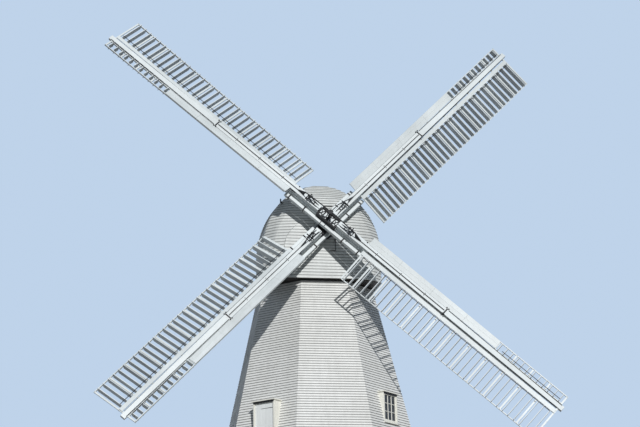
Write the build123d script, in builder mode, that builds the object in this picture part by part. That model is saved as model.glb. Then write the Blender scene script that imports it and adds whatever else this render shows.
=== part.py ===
from build123d import *
import os
from math import atan2, cos, degrees, pi, radians, sin, tan

# A tall smock mill: a brick base, a walkway at the smock's foot, a boarded smock of eight
# leaning sides, a boat-shaped cap that turns to the wind and four shuttered sails.
# Millimetres, +Z up, the ground's centre under the tower at the origin, the sails to -Y.

os.makedirs("parts", exist_ok=True)

# Brick base
BASE_HEIGHT = 9500
BASE_WIDTH = 8160
BASE_WALL = 560
GROUND_SLAB = 150
FLOOR_THICKNESS = 120
FIRST_FLOOR = 3150
SECOND_FLOOR = 6300
GROUND_DOOR_WIDTH = 1250
GROUND_DOOR_HEIGHT = 2300
BASE_WINDOW_WIDTH = 1000
BASE_WINDOW_HEIGHT = 1300
BASE_SILL_ABOVE_FLOOR = 950
BASE_REVEAL = 110

# Smock: eight sides that lean in
SMOCK_OVERHANG = 33
SMOCK_FOOT_WIDTH = BASE_WIDTH + 2 * SMOCK_OVERHANG
SMOCK_TOP_WIDTH = 4024
SMOCK_TOP = 19080
SMOCK_WALL = 160
UPPER_FLOOR = 12820

# Upright door and window boxes in the leaning sides
BOX_PROUD = 20
FRAME_WIDTH = 50
LEAF_THICKNESS = 40
LEAF_RECESS = 60
GLASS_THICKNESS = 6
UPPER_DOOR_WIDTH = 900
UPPER_DOOR_HEIGHT = 1900
UPPER_DOOR_SHIFT = 100
STAGE_DOOR_WIDTH = 900
STAGE_DOOR_HEIGHT = 1950
SMOCK_WINDOW_WIDTH = 860
SMOCK_WINDOW_HEIGHT = 1050
SMOCK_WINDOW_SILL = 14050
HEAD_BOARD = 30
HEAD_OVERHANG = 45

# Walkway round the smock's foot
STAGE_WIDTH = 12700
DECK_THICKNESS = 50
JOIST_WIDTH = 110
JOIST_DEPTH = 200
JOIST_SPACING = 1900
STRUT_DROP = 1650
STRUT_DEPTH = 220
RAIL_HEIGHT = 1050
RAIL_SIZE = 80
RAIL_INSET = 30
RAIL_BAYS = 3

# Curb and cap
CURB_HEIGHT = 150
CURB_RADIUS = 1980
CURB_BORE = 1720
CURB_SEGMENTS = 24
TURNING_GAP = 0.3
SILL_THICKNESS = 120
SILL_BORE = 1560
CAP_SHELL = 70
CAP_BOTTOM = 19270
CAP_SPRING = 20300
CAP_FRONT = -2240
CAP_REAR = 2400
CAP_TOP = 23200
ROOF_FACETS = 12
SHEER_SPACING = 2100
SHEER_WIDTH = 250
SHEER_DEPTH = 400
SHEER_END = 5000
BREAST_Y = -1700
BREAST_BEAM_WIDTH = 360
BREAST_BEAM_DEPTH = 600
TAIL_Y = 1400
TAIL_BEAM_WIDTH = 300

# Windshaft and stocks
HUB_HEIGHT = 21200
HUB_FORWARD = 3200
SHAFT_TILT = 13.5
NECK_RADIUS = 210
NECK_LENGTH = 2300
NECK_CLEARANCE = 50
TAIL_RADIUS = 150
SHAFT_LENGTH = 5050
BEARING_PLAY = 0.05
BEARING_WALL = 90
SAILS_AT_REST = 44
STOCK_OFFSET = 420
STOCK_LENGTH = 5393
STOCK_SIZE = 300
STOCK_END_WIDTH = 220
STOCK_END_DEPTH = 200
CANISTER_LENGTH = 860
CANISTER_WALL = 45
CANISTER_RIM = 60
CANISTER_RIB = 30
CLAMP_LENGTH = 1800
CLAMP_WIDTH = 120
CLAMP_DEPTH = 150
STRAP_LENGTH = 50
STRAP_THICKNESS = 8
STRAPS_ALONG_CLAMP = (900, 1600)
STOCK_STRAP_BACK = 12

# Sails
SAIL_RADIUS = 10600
SAIL_HEEL = 1798
BAR_PITCH = 739
HEEL_BAY = 0.7
BAY_COUNT = 12
BOARDED_BAYS = 8
WHIP_START = 440
WHIP_WIDTH = 240
WHIP_DEPTH = 200
WHIP_TIP_WIDTH = 180
WHIP_TIP_DEPTH = 120
TRAILING_WIDTH = 1306
LEADING_WIDTH = 344
BAR_WIDTH = 60
BAR_DEPTH = 40
LATH_WIDTH = 30
LATH_DEPTH = 60
INNER_LATH = 270
LEADING_BOARD = 22
SEAT_GAP = 0.5
WEATHER_HEEL = 19.0
WEATHER_TIP = 13.3
SHUTTERS_PER_BAY = 3
SHUTTER_CHORD = 240
SHUTTER_THICKNESS = 20
SHUTTER_START = 0.42

# Striking gear
SPIDER_RADIUS = 90
SPIDER_REACH = 430
SPIDER_FORWARD = 400
SPIDER_ROD = 30
ARM_WIDTH = 50
ARM_THICKNESS = 20
CRANK_AT = 1150
CRANK_SPAN = 320
CRANK_HEIGHT = 240
CRANK_PLATE = 24
ROD_SIZE = 24
ROD_LIFT = 45

# Fantail
FAN_Y = 4250
FAN_HEIGHT = 21750
FAN_RADIUS = 1600
FAN_BLADES = 8
FAN_HUB_RADIUS = 130
FAN_HUB_LENGTH = 220
FAN_SPINDLE = 35
FAN_POST_SPACING = 900
FAN_POST_SIZE = 130
FAN_POST_FOOT = 780
FAN_POST_HEAD = 260
FAN_PITCH = 28
FAN_DECK = 40
FAN_ARM = 60
FAN_BOARD = 20
FAN_BLADE_START = 580
FAN_BLADE_ROOT = 330
FAN_BLADE_TIP = 620

SIDE_ANGLES = [45 * n for n in range(8)]
BASE_TOP = BASE_HEIGHT
CURB_BOTTOM = SMOCK_TOP
SILL_BOTTOM = CURB_BOTTOM + CURB_HEIGHT + TURNING_GAP
SHEER_BOTTOM = SILL_BOTTOM + SILL_THICKNESS
SHEER_TOP = SHEER_BOTTOM + SHEER_DEPTH
HALF_SIDE = tan(radians(22.5))

# Stations of the cap's roof from front to rear: place along Y, half width, height of the ridge
CAP_STATIONS = [
    (CAP_FRONT + CAP_SHELL, 1450, 21500),
    (-2050, 1800, 22280),
    (-1700, 2130, 22800),
    (0, 2110, 23080),
    (1500, 1850, 22930),
    (CAP_REAR - CAP_SHELL, 1400, 22500),
]

SHAFT = Plane(
    origin=(0, -HUB_FORWARD, HUB_HEIGHT),
    x_dir=(1, 0, 0),
    z_dir=(0, -cos(radians(SHAFT_TILT)), sin(radians(SHAFT_TILT))),
)


def finish(piece, name):
    """Label a finished piece and write it."""
    piece.part.label = name
    export_step(piece.part, f"parts/{name}.step")


def smock_width(z):
    """Width across the smock's flats at a height."""
    share = (z - BASE_TOP) / (SMOCK_TOP - BASE_TOP)
    return SMOCK_FOOT_WIDTH + (SMOCK_TOP_WIDTH - SMOCK_FOOT_WIDTH) * share


def side_plane(angle, out, z):
    """Upright plane that faces out from one side: X along the wall, Y up, Z out."""
    a = radians(angle)
    return Plane(
        origin=(out * sin(a), -out * cos(a), z),
        x_dir=(cos(a), sin(a), 0),
        z_dir=(sin(a), -cos(a), 0),
    )


def eight_sided(bottom, top, bottom_width, top_width):
    """A solid eight-sided block between two heights, by its widths across the flats."""
    lean = degrees(atan2((bottom_width - top_width) / 2, top - bottom))
    with BuildPart() as block:
        with BuildSketch(Plane.XY.offset(bottom)):
            RegularPolygon(bottom_width / 2, 8, major_radius=False, rotation=22.5)
        extrude(amount=top - bottom, taper=lean)
    return block.part


def wall_ring(bottom, top, bottom_width, top_width, thickness):
    """An eight-sided wall all the way round."""
    inner = (bottom_width - 2 * thickness, top_width - 2 * thickness)
    with BuildPart() as ring:
        add(eight_sided(bottom, top, bottom_width, top_width))
        add(eight_sided(bottom, top, *inner), mode=Mode.SUBTRACT)
    return ring.part


def corner_plane(angle):
    """Upright plane through the axis and one corner of the eight sides."""
    a = radians(angle)
    return Plane((0, 0, 0), x_dir=(0, 0, 1), z_dir=(cos(a), sin(a), 0))


def wall_side(ring, angle):
    """The side of an eight-sided wall that faces one angle, mitred at both corners."""
    with BuildPart() as side:
        add(ring)
        split(bisect_by=corner_plane(angle - 22.5), keep=Keep.TOP)
        split(bisect_by=corner_plane(angle + 22.5), keep=Keep.BOTTOM)
    return side.part


def opening(angle, shift, sill, width, height, out, depth):
    """The block that a doorway or window takes out of a wall, from the plane at `out` inwards."""
    with BuildPart() as cut:
        with BuildSketch(side_plane(angle, out, sill)):
            with Locations((shift, height / 2)):
                Rectangle(width, height)
        extrude(amount=-depth)
    return cut.part


def frame(angle, shift, sill, width, height, out, depth):
    """A lining round an opening."""
    plane = side_plane(angle, out, sill)
    with BuildPart() as lining:
        with BuildSketch(plane):
            with Locations((shift, height / 2)):
                Rectangle(width, height)
                Rectangle(width - 2 * FRAME_WIDTH, height - 2 * FRAME_WIDTH, mode=Mode.SUBTRACT)
        extrude(amount=-depth)
    return lining.part


def panel(angle, shift, sill, width, height, out, thickness):
    """A door leaf or pane inside a frame, its face set back from the plane at `out`."""
    with BuildPart() as leaf:
        with BuildSketch(side_plane(angle, out - LEAF_RECESS, sill + FRAME_WIDTH)):
            with Locations((shift, height / 2 - FRAME_WIDTH)):
                Rectangle(width - 2 * FRAME_WIDTH, height - 2 * FRAME_WIDTH)
        extrude(amount=-thickness)
    return leaf.part


def smock_box(angle, shift, sill, width, height):
    """Size and place of an upright box in a leaning side, as the arguments that its pieces take."""
    out = smock_width(sill) / 2 + BOX_PROUD
    return angle, shift, sill, width, height, out


def box_depth(sill, height):
    """How far an upright box runs in, from its face to the wall's inner face at its head."""
    return (smock_width(sill) - smock_width(sill + height)) / 2 + BOX_PROUD + SMOCK_WALL


def smock_frame(angle, shift, sill, width, height):
    """The lining of an upright box, with a head board that ends against the leaning wall."""
    box = smock_box(angle, shift, sill, width, height)
    depth = box_depth(sill, height)
    with BuildPart() as head:
        with BuildSketch(side_plane(angle, box[-1] + HEAD_OVERHANG, sill)):
            with Locations((shift, height + HEAD_BOARD / 2)):
                Rectangle(width + 2 * HEAD_OVERHANG, HEAD_BOARD)
        extrude(amount=-(depth - SMOCK_WALL / 2 + HEAD_OVERHANG))
        add(smock_ring, mode=Mode.SUBTRACT)
    with BuildPart() as lining:
        add(frame(*box, depth))
        add(head.part)
    return lining.part


# Openings: side angle, shift along the wall, sill, width, height
BASE_FACE = BASE_WIDTH / 2
GROUND_DOOR = (0, 0, GROUND_SLAB, GROUND_DOOR_WIDTH, GROUND_DOOR_HEIGHT)
BASE_WINDOWS = [
    (angle, 0, floor + BASE_SILL_ABOVE_FLOOR, BASE_WINDOW_WIDTH, BASE_WINDOW_HEIGHT)
    for floor, angles in (
        (GROUND_SLAB, (90, 180, 270)),
        (FIRST_FLOOR, (0, 90, 180, 270)),
        (SECOND_FLOOR, (0, 90, 180, 270)),
    )
    for angle in angles
]
UPPER_DOOR = (-45, UPPER_DOOR_SHIFT, UPPER_FLOOR, UPPER_DOOR_WIDTH, UPPER_DOOR_HEIGHT)
STAGE_DOORS = [(angle, 0, BASE_TOP, STAGE_DOOR_WIDTH, STAGE_DOOR_HEIGHT) for angle in (90, 270)]
SMOCK_WINDOWS = [
    (angle, 0, SMOCK_WINDOW_SILL, SMOCK_WINDOW_WIDTH, SMOCK_WINDOW_HEIGHT) for angle in (45, 225)
]
SMOCK_BOXES = [UPPER_DOOR] + STAGE_DOORS + SMOCK_WINDOWS

# Brick base: the four sides with openings, and the four plain ones between them
base_ring = wall_ring(0, BASE_TOP, BASE_WIDTH, BASE_WIDTH, BASE_WALL)
base_cuts = [opening(*o, BASE_FACE + 1, BASE_WALL + 2) for o in [GROUND_DOOR] + BASE_WINDOWS]
BASE_WALL_NODES = {
    "base_wall_right": (0, 90),
    "base_wall_left": (180, 270),
    "base_corner_right": (45, 135),
    "base_corner_left": (225, 315),
}
for name, angles in BASE_WALL_NODES.items():
    with BuildPart() as base_wall:
        add([wall_side(base_ring, angle) for angle in angles])
        add(base_cuts, mode=Mode.SUBTRACT)
    finish(base_wall, name)

base_inside = BASE_WIDTH - 2 * BASE_WALL
with BuildPart() as ground_floor:
    add(eight_sided(0, GROUND_SLAB, base_inside, base_inside))
finish(ground_floor, "ground_floor")

with BuildPart() as mill_floors:
    for floor in (FIRST_FLOOR, SECOND_FLOOR, BASE_TOP):
        add(eight_sided(floor - FLOOR_THICKNESS, floor, base_inside, base_inside))
    upper_floor_bottom = UPPER_FLOOR - FLOOR_THICKNESS
    upper_widths = [smock_width(z) - 2 * SMOCK_WALL for z in (upper_floor_bottom, UPPER_FLOOR)]
    add(eight_sided(upper_floor_bottom, UPPER_FLOOR, *upper_widths))
finish(mill_floors, "mill_floors")

with BuildPart() as ground_door:
    add(panel(*GROUND_DOOR, BASE_FACE - BASE_REVEAL, LEAF_THICKNESS))
finish(ground_door, "ground_door")

# Smock
smock_ring = wall_ring(BASE_TOP, SMOCK_TOP, SMOCK_FOOT_WIDTH, SMOCK_TOP_WIDTH, SMOCK_WALL)
SIDE_NAMES = {
    0: "front",
    45: "front_right",
    90: "right",
    135: "rear_right",
    180: "rear",
    225: "rear_left",
    270: "left",
    315: "front_left",
}
for angle in SIDE_ANGLES:
    with BuildPart() as smock_side:
        add(wall_side(smock_ring, angle))
        for box in SMOCK_BOXES:
            if box[0] % 360 == angle:
                depth = box_depth(box[2], box[4]) + SMOCK_WALL
                add(opening(*smock_box(*box), depth), mode=Mode.SUBTRACT)
    finish(smock_side, f"smock_{SIDE_NAMES[angle]}")

with BuildPart() as door_frames:
    add(frame(*GROUND_DOOR, BASE_FACE - BASE_REVEAL, 2 * BASE_REVEAL))
    for box in STAGE_DOORS:
        add(smock_frame(*box))
finish(door_frames, "door_frames")

with BuildPart() as upper_door_frame:
    add(smock_frame(*UPPER_DOOR))
finish(upper_door_frame, "upper_door_frame")

with BuildPart() as upper_door:
    add(panel(*smock_box(*UPPER_DOOR), LEAF_THICKNESS))
finish(upper_door, "upper_door")

with BuildPart() as stage_doors:
    for box in STAGE_DOORS:
        add(panel(*smock_box(*box), LEAF_THICKNESS))
finish(stage_doors, "stage_doors")

with BuildPart() as window_frames:
    for window in BASE_WINDOWS:
        add(frame(*window, BASE_FACE - BASE_REVEAL, BASE_REVEAL))
    for box in SMOCK_WINDOWS:
        add(smock_frame(*box))
finish(window_frames, "window_frames")

with BuildPart() as window_glass:
    for window in BASE_WINDOWS:
        add(panel(*window, BASE_FACE - BASE_REVEAL, GLASS_THICKNESS))
    for box in SMOCK_WINDOWS:
        add(panel(*smock_box(*box), GLASS_THICKNESS))
finish(window_glass, "window_glass")

# Walkway
deck_bottom = BASE_TOP - DECK_THICKNESS
joist_bottom = deck_bottom - JOIST_DEPTH
joist_places = [
    (angle, shift) for angle in SIDE_ANGLES for shift in (-JOIST_SPACING / 2, JOIST_SPACING / 2)
]
with BuildPart() as stage_deck:
    add(wall_ring(deck_bottom, BASE_TOP, STAGE_WIDTH, STAGE_WIDTH, (STAGE_WIDTH - BASE_WIDTH) / 2))
finish(stage_deck, "stage_deck")

with BuildPart() as stage_joists:
    for angle, shift in joist_places:
        with BuildSketch(side_plane(angle, BASE_FACE, joist_bottom)):
            with Locations((shift, JOIST_DEPTH / 2)):
                Rectangle(JOIST_WIDTH, JOIST_DEPTH)
        extrude(amount=STAGE_WIDTH / 2 - BASE_FACE)
finish(stage_joists, "stage_joists")


def strut(angle, shift):
    """A raking strut from the base up to the outer end of a joist."""
    reach = STAGE_WIDTH / 2 - BASE_FACE - JOIST_WIDTH
    plane = side_plane(angle, BASE_FACE, joist_bottom)
    origin = plane.from_local_coords((shift + JOIST_WIDTH / 2, 0, 0))
    section = Plane(origin, x_dir=plane.z_dir, z_dir=-plane.x_dir)
    with BuildPart() as raker:
        with BuildSketch(section):
            Polygon(
                (0, -STRUT_DROP),
                (0, -STRUT_DROP - STRUT_DEPTH),
                (reach, 0),
                (reach - STRUT_DEPTH, 0),
            )
        extrude(amount=JOIST_WIDTH)
    return raker.part


with BuildPart() as stage_struts:
    add([strut(angle, shift) for angle, shift in joist_places])
finish(stage_struts, "stage_struts")


post_face = STAGE_WIDTH / 2 - RAIL_INSET - RAIL_SIZE
rail_face = post_face - SEAT_GAP - RAIL_SIZE
post_pitch = 2 * post_face * HALF_SIDE / RAIL_BAYS
rail_length = 2 * rail_face * HALF_SIDE - RAIL_SIZE
corner_post_face = (rail_face + RAIL_SIZE / 2) / cos(radians(22.5)) - RAIL_SIZE / 2
with BuildPart() as stage_railing:
    for angle in SIDE_ANGLES:
        with BuildSketch(side_plane(angle, post_face, BASE_TOP + RAIL_HEIGHT / 2)):
            with GridLocations(post_pitch, 0, RAIL_BAYS - 1, 1):
                Rectangle(RAIL_SIZE, RAIL_HEIGHT)
        with BuildSketch(side_plane(angle, rail_face, BASE_TOP)):
            with Locations((0, (RAIL_HEIGHT - RAIL_SIZE) / 2), (0, RAIL_HEIGHT - RAIL_SIZE / 2)):
                Rectangle(rail_length, RAIL_SIZE)
        with BuildSketch(side_plane(angle + 22.5, corner_post_face, BASE_TOP + RAIL_HEIGHT / 2)):
            Rectangle(RAIL_SIZE, RAIL_HEIGHT)
        extrude(amount=RAIL_SIZE)
finish(stage_railing, "stage_railing")

# Curb and cap
with BuildPart() as curb:
    with BuildSketch(Plane.XY.offset(CURB_BOTTOM)):
        RegularPolygon(CURB_RADIUS, CURB_SEGMENTS)
        RegularPolygon(CURB_BORE, CURB_SEGMENTS, mode=Mode.SUBTRACT)
    extrude(amount=CURB_HEIGHT)
finish(curb, "curb")


def roof_planes(inset):
    """Facet planes of the cap, set in by `inset`: between each two stations one for each step
    round the half-oval section, which the plane touches. The first and last are the side walls."""
    planes = []
    for (start, half_0, ridge_0), (end, half_1, ridge_1) in zip(CAP_STATIONS, CAP_STATIONS[1:]):
        half = (half_0 + half_1) / 2
        rise = (ridge_0 + ridge_1) / 2 - CAP_SPRING
        widening = (half_1 - half_0) / (end - start)
        climb = (ridge_1 - ridge_0) / (end - start)
        for n in range(ROOF_FACETS + 1):
            turn = pi * n / ROOF_FACETS
            touch = Vector(half * cos(turn), (start + end) / 2, CAP_SPRING + rise * sin(turn))
            along = Vector(widening * cos(turn), 1, climb * sin(turn))
            around = Vector(-half * sin(turn), 0, rise * cos(turn))
            out = along.cross(around).normalized()
            planes.append(Plane(touch - out * inset, z_dir=out))
    return planes


def cap_block(inset, bottom):
    """The cap's whole form, solid, between its front and rear panels."""
    start = CAP_FRONT + CAP_SHELL
    end = CAP_REAR - CAP_SHELL
    with BuildPart() as block:
        with BuildSketch(Plane.XY.offset(bottom)):
            with Locations((0, (start + end) / 2)):
                Rectangle(CURB_RADIUS * 3, end - start)
        extrude(amount=CAP_TOP - bottom)
        for plane in roof_planes(inset):
            split(bisect_by=plane, keep=Keep.BOTTOM)
    return block.part


def on_shaft(radius, start, end):
    """A cylinder on the windshaft's line, from one depth behind the hub to another."""
    with BuildPart() as rod:
        with BuildSketch(SHAFT.offset(-start)):
            Circle(radius)
        extrude(amount=-(end - start))
    return rod.part


neck_passage = on_shaft(NECK_RADIUS + NECK_CLEARANCE, 0, NECK_LENGTH)
cap_outside = cap_block(0, CAP_BOTTOM)
cap_inside = cap_block(CAP_SHELL, SILL_BOTTOM - CAP_SHELL)

with BuildPart() as cap_sill:
    add(cap_inside)
    split(bisect_by=Plane.XY.offset(SILL_BOTTOM), keep=Keep.TOP)
    split(bisect_by=Plane.XY.offset(SILL_BOTTOM + SILL_THICKNESS), keep=Keep.BOTTOM)
    with BuildSketch(Plane.XY.offset(SILL_BOTTOM)):
        RegularPolygon(SILL_BORE, CURB_SEGMENTS)
    extrude(amount=SILL_THICKNESS, mode=Mode.SUBTRACT)
finish(cap_sill, "cap_sill")

with BuildPart() as cap_frame:
    for x in (-SHEER_SPACING / 2, SHEER_SPACING / 2):
        with BuildSketch(Plane.XY.offset(SHEER_BOTTOM)):
            with Locations((x, (CAP_FRONT + CAP_SHELL + SHEER_END) / 2)):
                Rectangle(SHEER_WIDTH, SHEER_END - CAP_FRONT - CAP_SHELL)
        extrude(amount=SHEER_DEPTH)
    with BuildSketch(Plane.XY.offset(SHEER_BOTTOM)):
        for y, width in ((BREAST_Y, BREAST_BEAM_WIDTH), (TAIL_Y, TAIL_BEAM_WIDTH)):
            with Locations((0, y)):
                Rectangle(SHEER_SPACING, width)
    extrude(amount=SHEER_DEPTH)
    with BuildSketch(Plane.XY.offset(SHEER_TOP)):
        with Locations((0, BREAST_Y)):
            Rectangle(SHEER_SPACING + SHEER_WIDTH, BREAST_BEAM_WIDTH)
    extrude(amount=BREAST_BEAM_DEPTH)
finish(cap_frame, "cap_frame")


def shaft_height(y):
    """Height of the windshaft's line over a place along Y."""
    return HUB_HEIGHT - (y + HUB_FORWARD) * tan(radians(SHAFT_TILT))


def bearing(y, seat, radius, length):
    """A bearing block on its beam, with a round bore for the windshaft."""
    half = radius + BEARING_WALL
    top = shaft_height(y) + half
    with BuildPart() as block:
        with BuildSketch(Plane.XY.offset(seat)):
            with Locations((0, y)):
                Rectangle(2 * half, length)
        extrude(amount=top - seat)
        add(on_shaft(radius + BEARING_PLAY, 0, SHAFT_LENGTH + length), mode=Mode.SUBTRACT)
    return block.part


with BuildPart() as shaft_bearings:
    add(bearing(BREAST_Y, SHEER_TOP + BREAST_BEAM_DEPTH, NECK_RADIUS, BREAST_BEAM_WIDTH))
    add(bearing(TAIL_Y, SHEER_TOP, TAIL_RADIUS, TAIL_BEAM_WIDTH))
finish(shaft_bearings, "shaft_bearings")

with BuildPart() as cap_front:
    extrude(cap_outside.faces().sort_by(Axis.Y)[0], amount=CAP_SHELL)
    add(neck_passage, mode=Mode.SUBTRACT)
finish(cap_front, "cap_front")

with BuildPart() as cap_rear:
    extrude(cap_outside.faces().sort_by(Axis.Y)[-1], amount=CAP_SHELL)
    add(cap_frame.part, mode=Mode.SUBTRACT)
finish(cap_rear, "cap_rear")

with BuildPart() as cap_shell:
    add(cap_outside)
    add([cap_inside, neck_passage], mode=Mode.SUBTRACT)
for name, keep in (("cap_roof_right", Keep.TOP), ("cap_roof_left", Keep.BOTTOM)):
    with BuildPart() as cap_half:
        add(cap_shell.part)
        split(bisect_by=Plane.YZ, keep=keep)
    finish(cap_half, name)

# Fantail
deck_start = CAP_REAR + SEAT_GAP
with BuildPart() as fan_deck:
    with BuildSketch(Plane.XY.offset(SHEER_TOP)):
        with Locations((0, (deck_start + SHEER_END) / 2)):
            Rectangle(SHEER_SPACING + 2 * SHEER_WIDTH, SHEER_END - deck_start)
    extrude(amount=FAN_DECK)
finish(fan_deck, "fan_deck")

fan_post_foot = SHEER_TOP + FAN_DECK
with BuildPart() as fan_posts:
    for x in (-FAN_POST_SPACING / 2, FAN_POST_SPACING / 2):
        with BuildSketch(Plane.YZ.offset(x - FAN_POST_SIZE / 2)):
            Polygon(
                (FAN_Y - FAN_POST_FOOT / 2, fan_post_foot),
                (FAN_Y + FAN_POST_FOOT / 2, fan_post_foot),
                (FAN_Y + FAN_POST_HEAD / 2, FAN_HEIGHT + FAN_POST_SIZE),
                (FAN_Y - FAN_POST_HEAD / 2, FAN_HEIGHT + FAN_POST_SIZE),
            )
        extrude(amount=FAN_POST_SIZE)
    with BuildSketch(Plane.YZ.offset(-FAN_POST_SPACING)):
        with Locations((FAN_Y, FAN_HEIGHT)):
            Circle(FAN_SPINDLE + BEARING_PLAY)
    extrude(amount=2 * FAN_POST_SPACING, mode=Mode.SUBTRACT)
finish(fan_posts, "fan_posts")


def fan_blade(turn):
    """One pitched vane on its arm."""
    centre = (0, FAN_Y, FAN_HEIGHT)
    outward = Vector(0, sin(radians(turn)), cos(radians(turn)))
    sideways = Vector(0, cos(radians(turn)), -sin(radians(turn)))
    chord = sideways * cos(radians(FAN_PITCH)) + Vector(1, 0, 0) * sin(radians(FAN_PITCH))
    root = FAN_BLADE_ROOT / 2
    tip = FAN_BLADE_TIP / 2
    with BuildPart() as blade:
        with BuildSketch(Plane(centre, x_dir=sideways, z_dir=outward).offset(FAN_HUB_RADIUS / 2)):
            Rectangle(FAN_ARM, FAN_ARM)
        extrude(amount=FAN_RADIUS - FAN_HUB_RADIUS)
        with BuildSketch(Plane(centre, x_dir=chord, z_dir=chord.cross(outward))):
            Polygon(
                (-root, FAN_BLADE_START),
                (root, FAN_BLADE_START),
                (tip, FAN_RADIUS),
                (-tip, FAN_RADIUS),
            )
        extrude(amount=FAN_BOARD / 2, both=True)
    return blade.part


with BuildPart() as fan_wheel:
    with BuildSketch(Plane.YZ.offset(-FAN_HUB_LENGTH / 2)):
        with Locations((FAN_Y, FAN_HEIGHT)):
            Circle(FAN_HUB_RADIUS)
    extrude(amount=FAN_HUB_LENGTH)
    spindle_half = FAN_POST_SPACING / 2 + FAN_POST_SIZE
    with BuildSketch(Plane.YZ.offset(-spindle_half)):
        with Locations((FAN_Y, FAN_HEIGHT)):
            Circle(FAN_SPINDLE)
    extrude(amount=2 * spindle_half)
    for n in range(FAN_BLADES):
        add(fan_blade(n * 360 / FAN_BLADES))
finish(fan_wheel, "fan_wheel")


# Sails
def sail_plane(number):
    """Plane of a sail, counted clockwise from the upper right: Y out along the whip, X to the
    trailing edge, Z to the front. Each even sail is on the rear stock."""
    turn = radians(SAILS_AT_REST + 90 * number)
    depth = STOCK_OFFSET if number % 2 == 0 else 0
    x_dir = SHAFT.x_dir * cos(turn) - SHAFT.y_dir * sin(turn)
    return Plane(SHAFT.offset(-depth).origin, x_dir=x_dir, z_dir=SHAFT.z_dir)


def tapered_beam(plane, sections):
    """A beam out along a plane's Y through (place, width, front, back) sections."""
    face = [(width / 2, place) for place, width, _, _ in sections]
    face += [(-x, place) for x, place in reversed(face)]
    side = [(place, front) for place, _, front, _ in sections]
    side += [(place, back) for place, _, _, back in reversed(sections)]
    with BuildPart() as beam:
        with BuildSketch(plane):
            Polygon(*face)
        extrude(amount=2 * STOCK_SIZE, both=True)
        with BuildSketch(Plane(plane.origin, x_dir=plane.y_dir, z_dir=plane.x_dir)):
            Polygon(*side)
        extrude(amount=STOCK_SIZE, both=True, mode=Mode.INTERSECT)
    return beam.part


WHIP_BACK = -WHIP_DEPTH / 2
STOCK_BACK = WHIP_BACK - STOCK_SIZE
STOCK_END_BACK = WHIP_BACK - STOCK_END_DEPTH
SAILS = range(4)


def stock(number):
    """A through stock, thickest in the canister and tapered to both ends."""
    half = CANISTER_LENGTH / 2
    sections = [
        (-STOCK_LENGTH, STOCK_END_WIDTH, WHIP_BACK, STOCK_END_BACK),
        (-half, STOCK_SIZE, WHIP_BACK, STOCK_BACK),
        (half, STOCK_SIZE, WHIP_BACK, STOCK_BACK),
        (STOCK_LENGTH, STOCK_END_WIDTH, WHIP_BACK, STOCK_END_BACK),
    ]
    return tapered_beam(sail_plane(number), sections)


with BuildPart() as inner_stock:
    add(stock(0))
finish(inner_stock, "inner_stock")

with BuildPart() as outer_stock:
    add(stock(1))
finish(outer_stock, "outer_stock")


CANISTER_WIDTH = STOCK_SIZE + 2 * CANISTER_WALL
CANISTER_FRONT = WHIP_BACK + CANISTER_WALL
CANISTER_BACK = STOCK_BACK - CANISTER_WALL
SHAFT_START = STOCK_OFFSET - CANISTER_BACK

with BuildPart() as windshaft:
    for number in (0, 1):
        with BuildSketch(sail_plane(number).offset(CANISTER_FRONT)):
            Rectangle(CANISTER_WIDTH, CANISTER_LENGTH)
        extrude(amount=CANISTER_BACK - CANISTER_FRONT)
    with BuildSketch(sail_plane(1).offset(CANISTER_FRONT)):
        Rectangle(CANISTER_WIDTH, CANISTER_WIDTH)
    extrude(amount=CANISTER_BACK - CANISTER_FRONT - STOCK_OFFSET)
    with BuildSketch(sail_plane(1).offset(CANISTER_FRONT)):
        Rectangle(CANISTER_WIDTH, CANISTER_LENGTH)
        Rectangle(STOCK_SIZE, CANISTER_LENGTH - 2 * CANISTER_WALL, mode=Mode.SUBTRACT)
        with Locations((0, CANISTER_LENGTH / 4), (0, -CANISTER_LENGTH / 4)):
            Rectangle(STOCK_SIZE, CANISTER_RIB)
    extrude(amount=CANISTER_RIM)
    add(on_shaft(NECK_RADIUS, SHAFT_START, NECK_LENGTH))
    add(on_shaft(TAIL_RADIUS, NECK_LENGTH, SHAFT_LENGTH))
    add(inner_stock.part, mode=Mode.SUBTRACT)
    add(outer_stock.part, mode=Mode.SUBTRACT)
finish(windshaft, "windshaft")

clamp_side = CANISTER_WIDTH / 2 + CLAMP_WIDTH / 2
clamp_middle = WHIP_BACK - STOCK_SIZE / 2
with BuildPart() as stock_clamps:
    for number in (0, 1):
        with BuildSketch(sail_plane(number).offset(clamp_middle)):
            with Locations((-clamp_side, 0), (clamp_side, 0)):
                Rectangle(CLAMP_WIDTH, 2 * CLAMP_LENGTH)
        extrude(amount=CLAMP_DEPTH / 2, both=True)
finish(stock_clamps, "stock_clamps")


def strap(number, place, side, width, front, back):
    """An iron band round a timber of a sail."""
    plane = sail_plane(number)
    origin = plane.from_local_coords((side, place, (front + back) / 2))
    with BuildPart() as band:
        with BuildSketch(Plane(origin, x_dir=plane.x_dir, z_dir=-plane.y_dir)):
            Rectangle(width + 2 * STRAP_THICKNESS, front - back + 2 * STRAP_THICKNESS)
            Rectangle(width, front - back, mode=Mode.SUBTRACT)
        extrude(amount=STRAP_LENGTH / 2, both=True)
    return band.part


clamp_front = clamp_middle + CLAMP_DEPTH / 2
clamp_back = clamp_middle - CLAMP_DEPTH / 2
stock_strap = (STOCK_LENGTH - STRAP_LENGTH, 0, WHIP_WIDTH, -WHIP_BACK, STOCK_END_BACK - STOCK_STRAP_BACK)
with BuildPart() as stock_straps:
    for number in SAILS:
        for place in STRAPS_ALONG_CLAMP:
            for side in (-clamp_side, clamp_side):
                add(strap(number, place, side, CLAMP_WIDTH, clamp_front, clamp_back))
        add(strap(number, *stock_strap))
finish(stock_straps, "stock_straps")


def station(bar):
    """Place of a sail bar along the whip, from 0 at the heel."""
    return SAIL_HEEL + (HEEL_BAY + bar - 1) * BAR_PITCH if bar else SAIL_HEEL


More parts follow.
